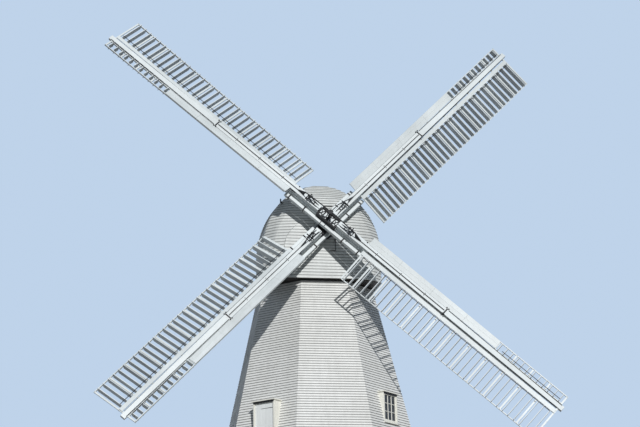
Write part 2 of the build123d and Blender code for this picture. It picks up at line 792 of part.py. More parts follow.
SAIL_END = station(BAY_COUNT)
TRAILING_SIDE = WHIP_WIDTH / 2 + TRAILING_WIDTH
LEADING_SIDE = WHIP_WIDTH / 2 + LEADING_WIDTH


def weather(place):
    """Angle of the sail to its plane of turning at a place along the whip."""
    share = (place - SAIL_HEEL) / (SAIL_END - SAIL_HEEL)
    return WEATHER_HEEL + (WEATHER_TIP - WEATHER_HEEL) * share


def across(number, place):
    """Plane across a sail at its own weather: X to the trailing edge, Y to the sail's front."""
    plane = sail_plane(number)
    turn = radians(weather(place))
    x_dir = plane.x_dir * cos(turn) - plane.z_dir * sin(turn)
    return Plane(plane.from_local_coords((0, place, 0)), x_dir=x_dir, z_dir=-plane.y_dir)


def twisted_board(number, start, end, side, lift, width, thickness):
    """A board along the sail between two places, twisted with its weather."""
    with BuildPart() as board:
        for place in (start, (start + end) / 2, end):
            with BuildSketch(across(number, place)):
                with Locations((side, lift)):
                    Rectangle(width, thickness)
        loft(ruled=True)
    return board.part


HEM = TRAILING_SIDE - LATH_WIDTH
LEAD = -LEADING_SIDE + LATH_WIDTH
INNER_LEAD = -WHIP_WIDTH / 2 - LATH_WIDTH


def sail_frame(number):
    """Bars through the whip, tenoned into a lath at each edge, and inner laths for the shutters."""
    first = SAIL_HEEL - BAR_WIDTH / 2
    last = SAIL_END + BAR_WIDTH / 2
    middle = (TRAILING_SIDE - LEADING_SIDE) / 2
    laths = [
        (first, HEM),
        (first, -LEADING_SIDE),
        (first, INNER_LATH),
        (station(BOARDED_BAYS), INNER_LEAD),
    ]
    with BuildPart() as lattice:
        with BuildSketch(*[across(number, station(bar)) for bar in range(BAY_COUNT + 1)]):
            with Locations((middle, 0)):
                Rectangle(TRAILING_SIDE + LEADING_SIDE - LATH_WIDTH, BAR_DEPTH)
        extrude(amount=BAR_WIDTH / 2, both=True)
        add(
            [
                twisted_board(number, start, last, edge + LATH_WIDTH / 2, 0, LATH_WIDTH, LATH_DEPTH)
                for start, edge in laths
            ]
        )
    return lattice.part


def shutter_places(first_bay, last_bay):
    """Places of the shutters along the whip in a run of bays."""
    places = []
    for bay in range(first_bay, last_bay):
        count = SHUTTERS_PER_BAY if bay else SHUTTERS_PER_BAY - 1
        pitch = BAR_PITCH / SHUTTERS_PER_BAY
        places += [station(bay) + pitch * (n + SHUTTER_START) for n in range(count)]
    return places


def shutter_row(number, places, start, end):
    """Open shutters, edge to the front, between two laths."""
    with BuildPart() as row:
        with BuildSketch(*[across(number, place) for place in places]):
            with Locations(((start + end) / 2, 0)):
                Rectangle(end - start - 2 * SEAT_GAP, SHUTTER_CHORD)
        extrude(amount=SHUTTER_THICKNESS / 2, both=True)
    return row.part


def shutters(number):
    """All shutters of a sail: the trailing side, and the leading side beyond its boards."""
    with BuildPart() as both_sides:
        add(shutter_row(number, shutter_places(0, BAY_COUNT), INNER_LATH + LATH_WIDTH, HEM))
        add(shutter_row(number, shutter_places(BOARDED_BAYS, BAY_COUNT), LEAD, INNER_LEAD))
    return both_sides.part


BOARD_LIFT = LATH_DEPTH / 2 + LEADING_BOARD / 2 + SEAT_GAP


def leading_board(number):
    """The solid board on the leading side, on the bars' front faces."""
    start = WHIP_WIDTH / 2 + LATH_WIDTH
    width = LEADING_SIDE - start
    first = SAIL_HEEL - BAR_WIDTH
    last = station(BOARDED_BAYS)
    return twisted_board(number, first, last, -start - width / 2, BOARD_LIFT, width, LEADING_BOARD)


def whip_board(number):
    """The narrow board on the trailing side, from the whip over the inner lath."""
    start = WHIP_WIDTH / 2 + LATH_WIDTH
    width = INNER_LATH + LATH_WIDTH - start
    first = SAIL_HEEL - BAR_WIDTH
    return twisted_board(number, first, SAIL_END, start + width / 2, BOARD_LIFT, width, LEADING_BOARD)


def whip(number, lattice):
    """The long timber that carries one sail, mortised for its bars."""
    half = WHIP_DEPTH / 2
    tip = WHIP_TIP_DEPTH / 2
    sections = [
        (WHIP_START, WHIP_WIDTH, half, -half),
        (STOCK_LENGTH, WHIP_WIDTH, half, -half),
        (SAIL_RADIUS, WHIP_TIP_WIDTH, tip, -tip),
    ]
    with BuildPart() as timber:
        add(tapered_beam(sail_plane(number), sections))
        add(lattice, mode=Mode.SUBTRACT)
    return timber.part


timbers = []
for number in SAILS:
    with BuildPart() as sail_lattice:
        add(sail_frame(number))
    finish(sail_lattice, f"sail_frame_{number + 1}")
    timbers.append(whip(number, sail_lattice.part))
    with BuildPart() as sail_shutters:
        add(shutters(number))
    finish(sail_shutters, f"sail_shutters_{number + 1}")

with BuildPart() as whips:
    add(timbers)
finish(whips, "whips")

with BuildPart() as leading_boards:
    add([leading_board(number) for number in SAILS])
finish(leading_boards, "leading_boards")

with BuildPart() as whip_boards:
    add([whip_board(number) for number in SAILS])
finish(whip_boards, "whip_boards")

# Striking gear
def crank_front(number):
    """Distance from the front stock's plane to a sail's own plane."""
    return STOCK_OFFSET if number % 2 == 0 else 0


def spider_link(number):
    """A flat arm of the spider and the link from its end down to the bell crank."""
    forward = SPIDER_FORWARD + crank_front(number)
    plane = sail_plane(number)
    crank_top = WHIP_DEPTH / 2 + CRANK_HEIGHT
    origin = plane.from_local_coords((-ARM_THICKNESS / 2, 0, 0))
    section = Plane(origin, x_dir=plane.y_dir, z_dir=plane.x_dir)
    with BuildPart() as link:
        with BuildSketch(section):
            Polygon(
                (0, forward),
                (0, forward - ARM_WIDTH),
                (SPIDER_REACH, forward - ARM_WIDTH),
                (CRANK_AT, crank_top - ARM_WIDTH),
                (CRANK_AT, crank_top),
                (SPIDER_REACH, forward),
            )
        extrude(amount=ARM_THICKNESS)
    return link.part


with BuildPart() as spider:
    with BuildSketch(SHAFT.offset(SPIDER_FORWARD - ARM_WIDTH)):
        Circle(SPIDER_RADIUS)
    extrude(amount=ARM_WIDTH)
    with BuildSketch(SHAFT.offset(WHIP_BACK + CANISTER_WALL)):
        Circle(SPIDER_ROD)
    extrude(amount=SPIDER_FORWARD - WHIP_BACK - CANISTER_WALL)
    for number in SAILS:
        add(spider_link(number))
finish(spider, "spider")


def bell_crank(number):
    """A three-cornered crank plate on the whip's front, with the rod that runs from it."""
    plane = sail_plane(number)
    face = WHIP_DEPTH / 2
    start = CRANK_AT + SEAT_GAP
    origin = plane.from_local_coords((-CRANK_PLATE / 2, 0, 0))
    section = Plane(origin, x_dir=plane.y_dir, z_dir=plane.x_dir)
    with BuildPart() as crank:
        with BuildSketch(section):
            Polygon(
                (start, face + CRANK_HEIGHT),
                (start, face + CRANK_HEIGHT - ARM_WIDTH),
                (start + ARM_WIDTH, face),
                (start + CRANK_SPAN, face),
                (start + CRANK_SPAN, face + ROD_LIFT),
            )
        extrude(amount=CRANK_PLATE)
        rod_start = start + CRANK_SPAN - ARM_WIDTH
        rod_origin = plane.from_local_coords((0, rod_start, face + ROD_SIZE / 2))
        with BuildSketch(Plane(rod_origin, x_dir=plane.x_dir, z_dir=plane.y_dir)):
            Rectangle(ROD_SIZE, ROD_SIZE)
        extrude(amount=STOCK_LENGTH - 2 * STRAP_LENGTH - rod_start)
    return crank.part


with BuildPart() as bell_cranks:
    for number in SAILS:
        add(bell_crank(number))
    add(stock_straps.part, mode=Mode.SUBTRACT)
finish(bell_cranks, "bell_cranks")
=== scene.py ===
import bmesh
import bpy
import numpy as np
from mathutils import Matrix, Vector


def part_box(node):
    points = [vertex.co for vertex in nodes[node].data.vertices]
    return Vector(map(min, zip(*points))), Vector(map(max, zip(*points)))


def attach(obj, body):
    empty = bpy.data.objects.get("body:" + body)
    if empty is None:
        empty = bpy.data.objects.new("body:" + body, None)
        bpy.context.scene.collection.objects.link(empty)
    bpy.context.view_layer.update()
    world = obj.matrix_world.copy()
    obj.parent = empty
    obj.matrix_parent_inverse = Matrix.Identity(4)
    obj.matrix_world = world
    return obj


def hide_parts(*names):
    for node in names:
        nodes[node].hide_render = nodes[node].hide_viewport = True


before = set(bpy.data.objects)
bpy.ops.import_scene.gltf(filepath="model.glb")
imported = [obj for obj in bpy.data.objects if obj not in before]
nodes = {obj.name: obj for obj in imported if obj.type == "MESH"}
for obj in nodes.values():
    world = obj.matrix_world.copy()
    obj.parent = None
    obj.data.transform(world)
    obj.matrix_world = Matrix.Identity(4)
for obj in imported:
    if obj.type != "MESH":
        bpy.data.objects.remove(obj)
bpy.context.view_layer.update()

# Ground, light and camera
# The mill stands on a plain pale floor, with one low sun in front of it, and a pale sky that fills
# the shade. The camera looks up from eye height, a long way off in front and a little to the left.

GROUND_SIZE = 400.0
GROUND_SEEN = (0.93, 0.93, 0.92, 1)
GROUND_LIT = (0.20, 0.195, 0.18, 1)
SUN_FROM = (0.03, -0.90, 0.42)
SUN_STRENGTH = 3.0
SUN_ANGLE = 0.02
SKY_SEEN = (0.52, 0.65, 0.82, 1)
SKY_LIT = (0.161, 0.1886, 0.23, 1)
CAMERA_PLACE = (-12.3403, -67.8149, 1.6)
CAMERA_YAW = 0.184
CAMERA_PITCH = 0.2916
CAMERA_ROLL = -0.0253
CAMERA_LENS = 109.1
CAMERA_REACH = 1000
SENSOR_WIDTH = 36.0


def add_node(tree, kind, **values):
    """One shader node. A value named by an input, or by i and its number, goes to that input,
    linked if it is a socket, and any other value is a property of the node."""
    made = tree.nodes.new("ShaderNode" + kind)
    for key, value in values.items():
        if hasattr(made, key):
            setattr(made, key, value)
            continue
        numbered = key[0] == "i" and key[1:].isdigit()
        place = made.inputs[int(key[1:]) if numbered else key.replace("_", " ")]
        if isinstance(value, bpy.types.NodeSocket):
            tree.links.new(value, place)
        else:
            place.default_value = value
    return made


def maths(tree, operation, *values):
    """The result of a sum on numbers, each of them plain or linked."""
    numbered = {f"i{place}": value for place, value in enumerate(values)}
    return add_node(tree, "Math", operation=operation, **numbered).outputs[0]


def blend(tree, share, first, second, kind="MIX"):
    """Two colours mixed by a share, each of them plain or linked."""
    made = add_node(tree, "Mix", data_type="RGBA", blend_type=kind, i0=share, i6=first, i7=second)
    return made.outputs[2]


def camera_or_light(tree, seen, lit):
    """Colour that the camera, mirrors and glass see, and the colour that lights the rest."""
    path = add_node(tree, "LightPath").outputs
    sharp = maths(tree, "MAXIMUM", path["Is Glossy Ray"], path["Is Transmission Ray"])
    return blend(tree, maths(tree, "MAXIMUM", path["Is Camera Ray"], sharp), lit, seen)


def new_material(name, colour, roughness=0.6, specular=0.5):
    """A material with one plain shader, its node tree, and the Object coordinates for its wear."""
    made = bpy.data.materials.new(name)
    made.use_nodes = True
    made.diffuse_color = colour
    shader = made.node_tree.nodes["Principled BSDF"]
    shader.inputs["Base Color"].default_value = colour
    shader.inputs["Roughness"].default_value = roughness
    shader.inputs["Specular IOR Level"].default_value = specular
    return made, made.node_tree, add_node(made.node_tree, "TexCoord").outputs["Object"]


def surface(tree, colour, roughness=None, height=None, distance=0.0):
    """Link a material's colour, its roughness, and a bump from a height map whose full range is
    worth `distance` metres."""
    inputs = tree.nodes["Principled BSDF"].inputs
    tree.links.new(colour, inputs["Base Color"])
    if roughness is not None:
        tree.links.new(roughness, inputs["Roughness"])
    if height is not None:
        bump = add_node(tree, "Bump", Height=height, Distance=distance)
        tree.links.new(bump.outputs[0], inputs["Normal"])


ground_material, tree, _ = new_material("pale_ground", GROUND_SEEN, 0.9)
surface(tree, camera_or_light(tree, GROUND_SEEN, GROUND_LIT))
half = GROUND_SIZE / 2
ground_mesh = bpy.data.meshes.new("ground")
ground_mesh.from_pydata([(-half, -half, 0), (half, -half, 0), (half, half, 0), (-half, half, 0)],
                        [], [(0, 1, 2, 3)])
ground = bpy.data.objects.new("ground", ground_mesh)
ground.data.materials.append(ground_material)
bpy.context.collection.objects.link(ground)

sun_data = bpy.data.lights.new("sun", "SUN")
sun_data.energy = SUN_STRENGTH
sun_data.angle = SUN_ANGLE
sun = bpy.data.objects.new("sun", sun_data)
toward = np.array(SUN_FROM) / np.linalg.norm(SUN_FROM)
side = np.cross((0, 0, 1), toward)
side /= np.linalg.norm(side)
sun_axes = np.column_stack([side, np.cross(toward, side), toward])
sun.matrix_world = Matrix(sun_axes.tolist()).to_4x4()
bpy.context.collection.objects.link(sun)

world = bpy.data.worlds.new("sky")
world.use_nodes = True
tree = world.node_tree
tree.links.new(camera_or_light(tree, SKY_SEEN, SKY_LIT), tree.nodes["Background"].inputs["Color"])
bpy.context.scene.world = world
bpy.context.scene.view_settings.view_transform = "Standard"

yaw, pitch, roll = CAMERA_YAW, CAMERA_PITCH, CAMERA_ROLL
forward = np.array([np.sin(yaw) * np.cos(pitch), np.cos(yaw) * np.cos(pitch), np.sin(pitch)])
level = np.array([np.cos(yaw), -np.sin(yaw), 0.0])
upward = np.cross(level, forward)
right = np.cos(roll) * level + np.sin(roll) * upward
top = -np.sin(roll) * level + np.cos(roll) * upward
camera_data = bpy.data.cameras.new("camera")
camera_data.lens = CAMERA_LENS
camera_data.sensor_width = SENSOR_WIDTH
camera_data.clip_end = CAMERA_REACH
camera = bpy.data.objects.new("camera", camera_data)
pose = np.eye(4)
pose[:3] = np.column_stack([right, top, -forward, CAMERA_PLACE])
camera.matrix_world = Matrix(pose.tolist())
bpy.context.collection.objects.link(camera)
bpy.context.scene.camera = camera

# Brick base
# Eight walls of stock brick in lime mortar carry the mill, 560 mm thick, laid in level courses with
# the bricks lapping at the corners. The bricks differ in colour, and the joints are struck flush.

BASE_HALF = 4.08
BASE_TOP = 9.5
HALF_SIDE = np.tan(np.radians(22.5))
DOOR_SILL = 0.15
DOOR_WIDTH = 1.25
DOOR_HEIGHT = 2.30
PLINTH_HEIGHT = 0.60
PLINTH_PROUD = 0.055
IN_WALL = -0.02
BRICK_EDGE = 0.004
BRICK_LENGTH = 0.225
BRICK_COURSE = 0.075
MORTAR = 0.009
BRICK_COLOURS = ((0.30, 0.115, 0.070, 1), (0.42, 0.19, 0.115, 1))
MORTAR_COLOUR = (0.46, 0.42, 0.36, 1)


def noise(tree, where, scale, detail=4.0, stretch=None):
    """Noise over a vector, with the pattern squeezed along each axis by a factor."""
    if stretch is not None:
        where = add_node(tree, "VectorMath", operation="MULTIPLY", i0=where, i1=stretch).outputs[0]
    return add_node(tree, "TexNoise", Vector=where, Scale=scale, Detail=detail).outputs["Fac"]


def between(tree, share, low, high, start=0.3, end=0.7):
    """A number that runs from low to high as the share runs from start to end. Most of a noise lies
    between 0.3 and 0.7."""
    made = add_node(tree, "MapRange", i0=share, i1=start, i2=end, i3=low, i4=high)
    return made.outputs[0]


def shaded(tree, colour, light):
    """A colour times a number near 1."""
    return blend(tree, 1.0, colour, light, "MULTIPLY")


def dress(material, *names):
    """Give a material to CAD nodes."""
    for name in names:
        mesh = nodes[name].data
        mesh.materials.clear()
        mesh.materials.append(material)


brick, tree, coords = new_material("brick", BRICK_COLOURS[0])
facing = add_node(tree, "NewGeometry").outputs["True Normal"]
along = add_node(tree, "VectorMath", operation="CROSS_PRODUCT", i0=(0, 0, 1), i1=facing).outputs[0]
along_wall = add_node(tree, "VectorMath", operation="DOT_PRODUCT", i0=coords, i1=along)
split = add_node(tree, "SeparateXYZ", i0=coords)
laid = add_node(tree, "CombineXYZ", X=along_wall.outputs["Value"], Y=split.outputs["Z"])
bond = add_node(tree, "TexBrick", Vector=laid.outputs[0], Color1=BRICK_COLOURS[0],
                Color2=BRICK_COLOURS[1], Mortar=MORTAR_COLOUR, Scale=1.0, Mortar_Size=MORTAR / 2,
                Mortar_Smooth=0.3, Bias=0.0, Brick_Width=BRICK_LENGTH, Row_Height=BRICK_COURSE)
stain = between(tree, noise(tree, coords, 0.7, 5.0), 0.72, 1.12)
grit = noise(tree, coords, 60.0, 3.0)
joints = maths(tree, "MULTIPLY_ADD", bond.outputs["Fac"], -1.0, grit)
surface(tree, shaded(tree, bond.outputs["Color"], stain), between(tree, grit, 0.75, 0.95),
        joints, 0.006)
dress(brick, "base_wall_right", "base_wall_left", "base_corner_right", "base_corner_left")


def carried(loops):
    """Closed bars: loops[n, m, k] are the k points of the profile of bar n at its station m. Walls
    join each station to the next, and both ends are capped."""
    n, m, k, _ = loops.shape
    index = np.arange(n * m * k).reshape(n, m, k)
    here, beyond = index[:, :-1], index[:, 1:]
    walls = np.stack([here, np.roll(here, -1, 2), np.roll(beyond, -1, 2), beyond], -1)
    caps = np.concatenate([index[:, 0, ::-1], index[:, -1]])
    return loops.reshape(-1, 3), walls.reshape(-1, 4).tolist() + caps.tolist()


def new_piece(name, shape, body, slot, material, **marks):
    """A piece from (points, faces), its faces turned outwards, that rides on a body. Each mark is a
    number for every point: by `tone` its colour is lighter or darker, and `rise` is how far up a
    board it lies."""
    points, faces = shape
    mesh = bpy.data.meshes.new(name)
    mesh.from_pydata(points.tolist(), [], faces)
    form = bmesh.new()
    form.from_mesh(mesh)
    bmesh.ops.recalc_face_normals(form, faces=form.faces)
    form.to_mesh(mesh)
    form.free()
    for key, values in marks.items():
        spread = np.resize(np.asarray(values, np.float32), len(points))
        mesh.attributes.new(key, "FLOAT", "POINT").data.foreach_set("value", spread)
    mesh.materials.append(material)
    piece = bpy.data.objects.new(name, mesh)
    bpy.context.collection.objects.link(piece)
    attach(piece, body)
    return piece


def on_side(angle, place, out, height):
    """Points on one side of the tower, its angle counted from the front to the right, from arrays:
    place along the wall, distance out from the axis, height."""
    a = np.radians(angle)
    outward, sideways = np.array([np.sin(a), -np.cos(a), 0]), np.array([np.cos(a), np.sin(a), 0])
    place, out, height = (each[..., None] for each in np.broadcast_arrays(place, out, height))
    return place * sideways + out * outward + height * np.array([0, 0, 1.0])


wall_out, height = np.array([
    (BASE_HALF + IN_WALL, 0.0), (BASE_HALF + PLINTH_PROUD, 0.0),
    (BASE_HALF + PLINTH_PROUD, PLINTH_HEIGHT - PLINTH_PROUD),
    (BASE_HALF + BRICK_EDGE, PLINTH_HEIGHT), (BASE_HALF + IN_WALL, PLINTH_HEIGHT)]).T
bends = np.radians(np.arange(22.5, 360, 45.0))[:, None]
corner_out = wall_out / np.cos(np.pi / 8)
corners = np.stack(np.broadcast_arrays(corner_out * np.sin(bends), -corner_out * np.cos(bends),
                                       height), -1)
first_jamb, last_jamb = (on_side(0, place, wall_out, height)
                         for place in (DOOR_WIDTH / 2, -DOOR_WIDTH / 2))
plinth = carried(np.concatenate([[first_jamb], corners, [last_jamb]])[None])
new_piece("brick_plinth", plinth, "tower", "brick", brick)

# Stone sills and steps
# A sill of sawn sandstone lies under each window of the base, let into the brickwork, with a
# weathered top and a nose that throws the rain clear. Two steps of the same stone lead to the door.

WINDOW_WIDTH = 1.0
WINDOW_HEIGHT = 1.3
WINDOW_SILL = 0.95
FLOORS = (0.15, 3.15, 6.3)
WINDOW_PLACES = [(angle, floor + WINDOW_SILL) for floor in FLOORS for angle in (0, 90, 180, 270)
                 if angle or floor > FLOORS[0]]
SILL_NOSE = 0.07
SILL_DEPTH = 0.11
SILL_OVERHANG = 0.09
STEP_WIDTH = 1.70
STEP_OUTS = [(4.0, 4.62), (4.0, 4.34)]
STEP_HEIGHTS = [(0.0, 0.075), (0.075, 0.15)]
STEP_EDGE = 0.008
STONE_COLOUR = (0.50, 0.46, 0.38, 1)
STONE_STAIN = (0.27, 0.25, 0.21, 1)

stone, tree, coords = new_material("sawn_stone", STONE_COLOUR, 0.8)
patches = between(tree, noise(tree, coords, 2.5, 6.0), 0.0, 1.0)
grain = noise(tree, coords, 45.0, 5.0)
surface(tree, blend(tree, patches, STONE_COLOUR, STONE_STAIN), between(tree, grain, 0.7, 0.92),
        grain, 0.003)


def joined(*shapes):
    """Several (points, faces) as one."""
    firsts = np.cumsum([0] + [len(points) for points, _ in shapes]).tolist()
    faces = [[i + first for i in face] for (_, own), first in zip(shapes, firsts) for face in own]
    return np.concatenate([points for points, _ in shapes]), faces


def bevelled(first, second, edge):
    """An eight-sided profile from rows of (low, high) of its two measures: a rectangle with its
    edges taken off by `edge`."""
    (a, b), (c, d) = first.T[:, :, None], second.T[:, :, None]
    return (np.hstack([a + edge, b - edge, b, b, b - edge, a + edge, a, a]),
            np.hstack([c, c, c + edge, d - edge, d, d, d - edge, c + edge]))


def blocks(angle, places, outs, heights, edge, upright=False):
    """Blocks on one side of the tower, each from rows of (low, high) along the wall, out from the
    axis and in height: a bevelled rectangle carried along the wall, or upwards."""
    rows = [np.atleast_2d(np.asarray(each, float)) for each in (places, outs, heights)]
    place, out, height = (np.broadcast_to(each, (max(map(len, rows)), 2)) for each in rows)
    if upright:
        place, out = (each[:, None] for each in bevelled(place, out, edge))
        height = height[:, :, None]
    else:
        out, height = (each[:, None] for each in bevelled(out, height, edge))
        place = place[:, :, None]
    return carried(on_side(angle, place, out, height))


def along_side(angle, start, end, out, height):
    """A profile of distances out and heights, carried along one side from start to end."""
    ends = np.stack(np.broadcast_arrays(start, end, out)[:2])
    return carried(on_side(angle, ends, out, height)[None])


def stone_sill(angle, sill):
    """A sill's profile, flat below and sloping above, carried along the wall."""
    out = BASE_HALF + np.array([-SILL_DEPTH, SILL_NOSE, SILL_NOSE, -SILL_DEPTH])
    reach = WINDOW_WIDTH / 2 + SILL_OVERHANG
    return along_side(angle, -reach, reach, out, sill + np.array([-0.09, -0.09, -0.035, 0.0]))


steps = blocks(0, (-STEP_WIDTH / 2, STEP_WIDTH / 2), STEP_OUTS, STEP_HEIGHTS, STEP_EDGE)
sills = joined(*[stone_sill(*place) for place in WINDOW_PLACES], steps)
new_piece("stone_sills", sills, "tower", "concrete", stone)

# Flat arches
# A flat arch of rubbed bricks on edge spans each window and the door, cut to wedges that lean out
# from the middle, a few millimetres proud of the wall, with thin joints.

ARCH_HEIGHT = 0.225
ARCH_BRICKS = 17
ARCH_LEAN = 0.16
ARCH_JOINT = 0.003
ARCH_PROUD = 0.008
ARCH_COLOUR = (0.40, 0.13, 0.065, 1)


def attribute(tree, name):
    """A number that the mesh holds for each of its points."""
    return add_node(tree, "Attribute", attribute_name=name).outputs["Fac"]


rubbed, tree, coords = new_material("rubbed_brick", ARCH_COLOUR, 0.85)
toned = maths(tree, "ADD", attribute(tree, "tone"),
              between(tree, noise(tree, coords, 5.0), 0.8, 1.1))
surface(tree, shaded(tree, ARCH_COLOUR, toned), height=noise(tree, coords, 70.0), distance=0.002)
chance = np.random.default_rng(7)


def tones(shape, each, low, high):
    """A chance number for each bar of a shape, the same at all of the `each` points of the bar."""
    return np.repeat(chance.uniform(low, high, len(shape[0]) // each), each)


def flat_arch(angle, head, width):
    """Wedge bricks side by side: each joint line leans out in proportion to its place."""
    cuts = np.linspace(-1, 1, ARCH_BRICKS + 1) * width / 2
    low = np.stack([cuts[:-1] + ARCH_JOINT, cuts[1:] - ARCH_JOINT], 1)
    high = low * (1 + ARCH_LEAN / width * 2)
    place = np.hstack([low, high[:, ::-1]])[:, None]
    out = BASE_HALF + np.array([[IN_WALL], [ARCH_PROUD]])
    return carried(on_side(angle, place, out, head + np.array([0, 0, ARCH_HEIGHT, ARCH_HEIGHT])))


arches = joined(*[flat_arch(angle, sill + WINDOW_HEIGHT, WINDOW_WIDTH)
                  for angle, sill in WINDOW_PLACES],
                flat_arch(0, DOOR_SILL + DOOR_HEIGHT, DOOR_WIDTH))
new_piece("flat_arches", arches, "tower", "brick", rubbed, tone=tones(arches, 8, -0.18, 0.14))

# Floors
# The ground floor is a slab of trowelled concrete. Each upper floor is of wide boards on joists,
# and shows from outside only through the windows.

CONCRETE_COLOUR = (0.32, 0.31, 0.29, 1)
FLOOR_COLOUR = (0.27, 0.17, 0.095, 1)
FLOOR_BOARD = 0.18

concrete, tree, coords = new_material("trowelled_concrete", CONCRETE_COLOUR, 0.85)
cloud = between(tree, noise(tree, coords, 1.6, 6.0), 0.8, 1.12)
surface(tree, shaded(tree, CONCRETE_COLOUR, cloud), height=noise(tree, coords, 25.0, 6.0),
        distance=0.003)
dress(concrete, "ground_floor")

floor_wood, tree, coords = new_material("floor_boards", FLOOR_COLOUR, 0.7)
board = maths(tree, "DIVIDE", add_node(tree, "SeparateXYZ", i0=coords).outputs["X"], FLOOR_BOARD)
lot = add_node(tree, "TexWhiteNoise", noise_dimensions="1D", W=maths(tree, "FLOOR", board))
figure = noise(tree, coords, 6.0, 6.0, (9, 0.6, 9))
light = maths(tree, "ADD", maths(tree, "MULTIPLY_ADD", lot.outputs["Value"], 0.3, figure), 0.3)
seam = between(tree, maths(tree, "PINGPONG", board, 0.5), 0.0, 1.0, 0.0, 0.03)
surface(tree, shaded(tree, FLOOR_COLOUR, light), height=seam, distance=0.006)
dress(floor_wood, "mill_floors")

# Smock
# Eight leaning sides of framed oak are clad in weatherboards of painted pine, about 93 mm to the
# weather. Each board laps over the one below, is thick at its foot, and is mitred at the corners.

SMOCK_FOOT = 8.226
SMOCK_HEAD = 4.024
SMOCK_TOP = 19.08
BOARDS_TOP = 19.218
BOARD_COURSES = 104
BOARD_BACK = -0.01
BOARD_FOOT = 0.028
BOARD_HEAD = 0.007
BOARD_RISE = (0, 0, 1, 1)
BOARD_LAP = 0.012
BOARD_SHOWS = (BOARDS_TOP - BOARD_LAP - BASE_TOP) / BOARD_COURSES
# Painted shade: a near-black drawn into the top of each board, where it lies under the lap of the
# next.
LAP_SHADE = (0.060, 0.064, 0.062, 1)
PINE_PAINT = (0.80, 0.80, 0.775, 1)
PINE_GRIME = (0.54, 0.535, 0.49, 1)
PINE_BARE = (0.30, 0.25, 0.19, 1)
SIDE_NAMES = {0: "front", 45: "front_right", 90: "right", 135: "rear_right", 180: "rear",
              225: "rear_left", 270: "left", 315: "front_left"}
UPPER_DOOR_SIDE = 315
SMOCK_WINDOW_SIDES = (45, 225)
STAGE_DOOR_SIDES = (90, 270)
# The opening in a side: its shift from the middle, the height of its sill, its width and height.
OPENINGS = {UPPER_DOOR_SIDE: (0.10, 12.82, 0.90, 1.90),
            **dict.fromkeys(SMOCK_WINDOW_SIDES, (0.0, 14.05, 0.86, 1.05)),
            **dict.fromkeys(STAGE_DOOR_SIDES, (0.0, BASE_TOP, 0.90, 1.95))}
OVER_HEAD = 0.03


def paint(name, colour, grime, dirty=0.5, stretch=(1, 1, 7), gloss=(0.42, 0.62), bump=0.0015,
          runs=0.07, worn=0.0, laps=0.0):
    """Oil paint on wood: patches of grime, rain runs down the face, each board a little different,
    brush and grain marks along the board, a share of flecks worn to the bare wood, and a share of
    painted shade under each lap, where `rise` across the board nears 1."""
    made, tree, coords = new_material(name, colour)
    patch = between(tree, noise(tree, coords, 0.55, 6.0), 0.0, dirty)
    shade = blend(tree, patch, colour, grime)
    streaks = between(tree, noise(tree, coords, 1.0, 5.0, (7, 7, 0.6)), 1 - runs, 1 + runs / 2)
    shade = shaded(tree, shade, maths(tree, "ADD", attribute(tree, "tone"), streaks))
    grain = noise(tree, coords, 13.0, 6.0, stretch)
    if worn:
        flecks = noise(tree, coords, 9.0, 8.0, stretch)
        shade = blend(tree, between(tree, flecks, 0.0, worn, 0.60, 0.66), shade, PINE_BARE)
    if laps:
        # Painted shade darkens the top of each board, just below the foot of the board above.
        lap_shade_share = between(tree, attribute(tree, "rise"), 0.0, laps, 0.60, 0.80)
        shade = blend(tree, lap_shade_share, shade, LAP_SHADE)
    surface(tree, shade, between(tree, grain, *gloss), grain, bump)
    return made


def smock_half(z):
    """Distance of the smock's faces from its axis at a height."""
    share = (z - BASE_TOP) / (SMOCK_TOP - BASE_TOP)
    return (SMOCK_FOOT + (SMOCK_HEAD - SMOCK_FOOT) * share) / 2


def smock_courses(angle):
    """Lapped boards on one side. A board's profile is a wedge between its foot and its head, out
    from the leaning wall, and it runs from mitre to mitre, where a point's place is its distance
    out times tan 22.5, or from a mitre to the edge of an opening."""
    foot = BASE_TOP + BOARD_SHOWS * np.arange(BOARD_COURSES)
    head = foot + BOARD_SHOWS + BOARD_LAP
    low, high = smock_half(foot), smock_half(head)
    out = np.stack([low + BOARD_BACK, low + BOARD_FOOT, high + BOARD_HEAD, high + BOARD_BACK], 1)
    height = np.stack([foot, foot, head, head], 1)
    start, end = -out * HALF_SIDE, out * HALF_SIDE
    if angle in OPENINGS:
        shift, sill, width, tall = OPENINGS[angle]
        cut = (foot < sill + tall + OVER_HEAD) & (foot + BOARD_SHOWS > sill)
        left, right = (np.full_like(out[cut], shift + jamb) for jamb in (-width / 2, width / 2))
        start = np.concatenate([start[~cut], start[cut], right])
        end = np.concatenate([end[~cut], left, end[cut]])
        out, height = (np.concatenate([of[~cut], of[cut], of[cut]]) for of in (out, height))
    return carried(on_side(angle, np.stack([start, end], 1), out[:, None], height[:, None]))


# The smock's boards carry painted shade under each lap, a share of 0.92.
smock_paint = paint("smock_paint", PINE_PAINT, PINE_GRIME, 0.4, worn=0.3, laps=0.92)
for angle, side_name in SIDE_NAMES.items():
    boards = smock_courses(angle)
    new_piece(f"smock_boards_{side_name}", boards, "tower", "tower_boards", smock_paint,
              tone=tones(boards, 8, -0.035, 0.025), rise=BOARD_RISE)
dress(smock_paint, *[f"smock_{side_name}" for side_name in SIDE_NAMES.values()])

# Door and window frames
# A lining of painted pine goes round each opening, mortised at the corners. In a leaning side it is
# an upright box with tapered cheeks, a head board that sheds the rain, and a sill board.

JOINERY_PAINT = (0.86, 0.85, 0.775, 1)
JOINERY_GRIME = (0.60, 0.58, 0.50, 1)
BOX_SIDES = (UPPER_DOOR_SIDE, *SMOCK_WINDOW_SIDES)
BOX_PROUD = 0.02
SILL_BOARD = 0.045
SILL_BOARD_DEPTH = 0.16
SILL_BOARD_REACH = 0.05

joinery_paint = paint("joinery_paint", JOINERY_PAINT, JOINERY_GRIME, 0.45, (6, 6, 6), (0.32, 0.5),
                      0.0012, worn=0.2)
dress(joinery_paint, "door_frames", "upper_door_frame", "window_frames")


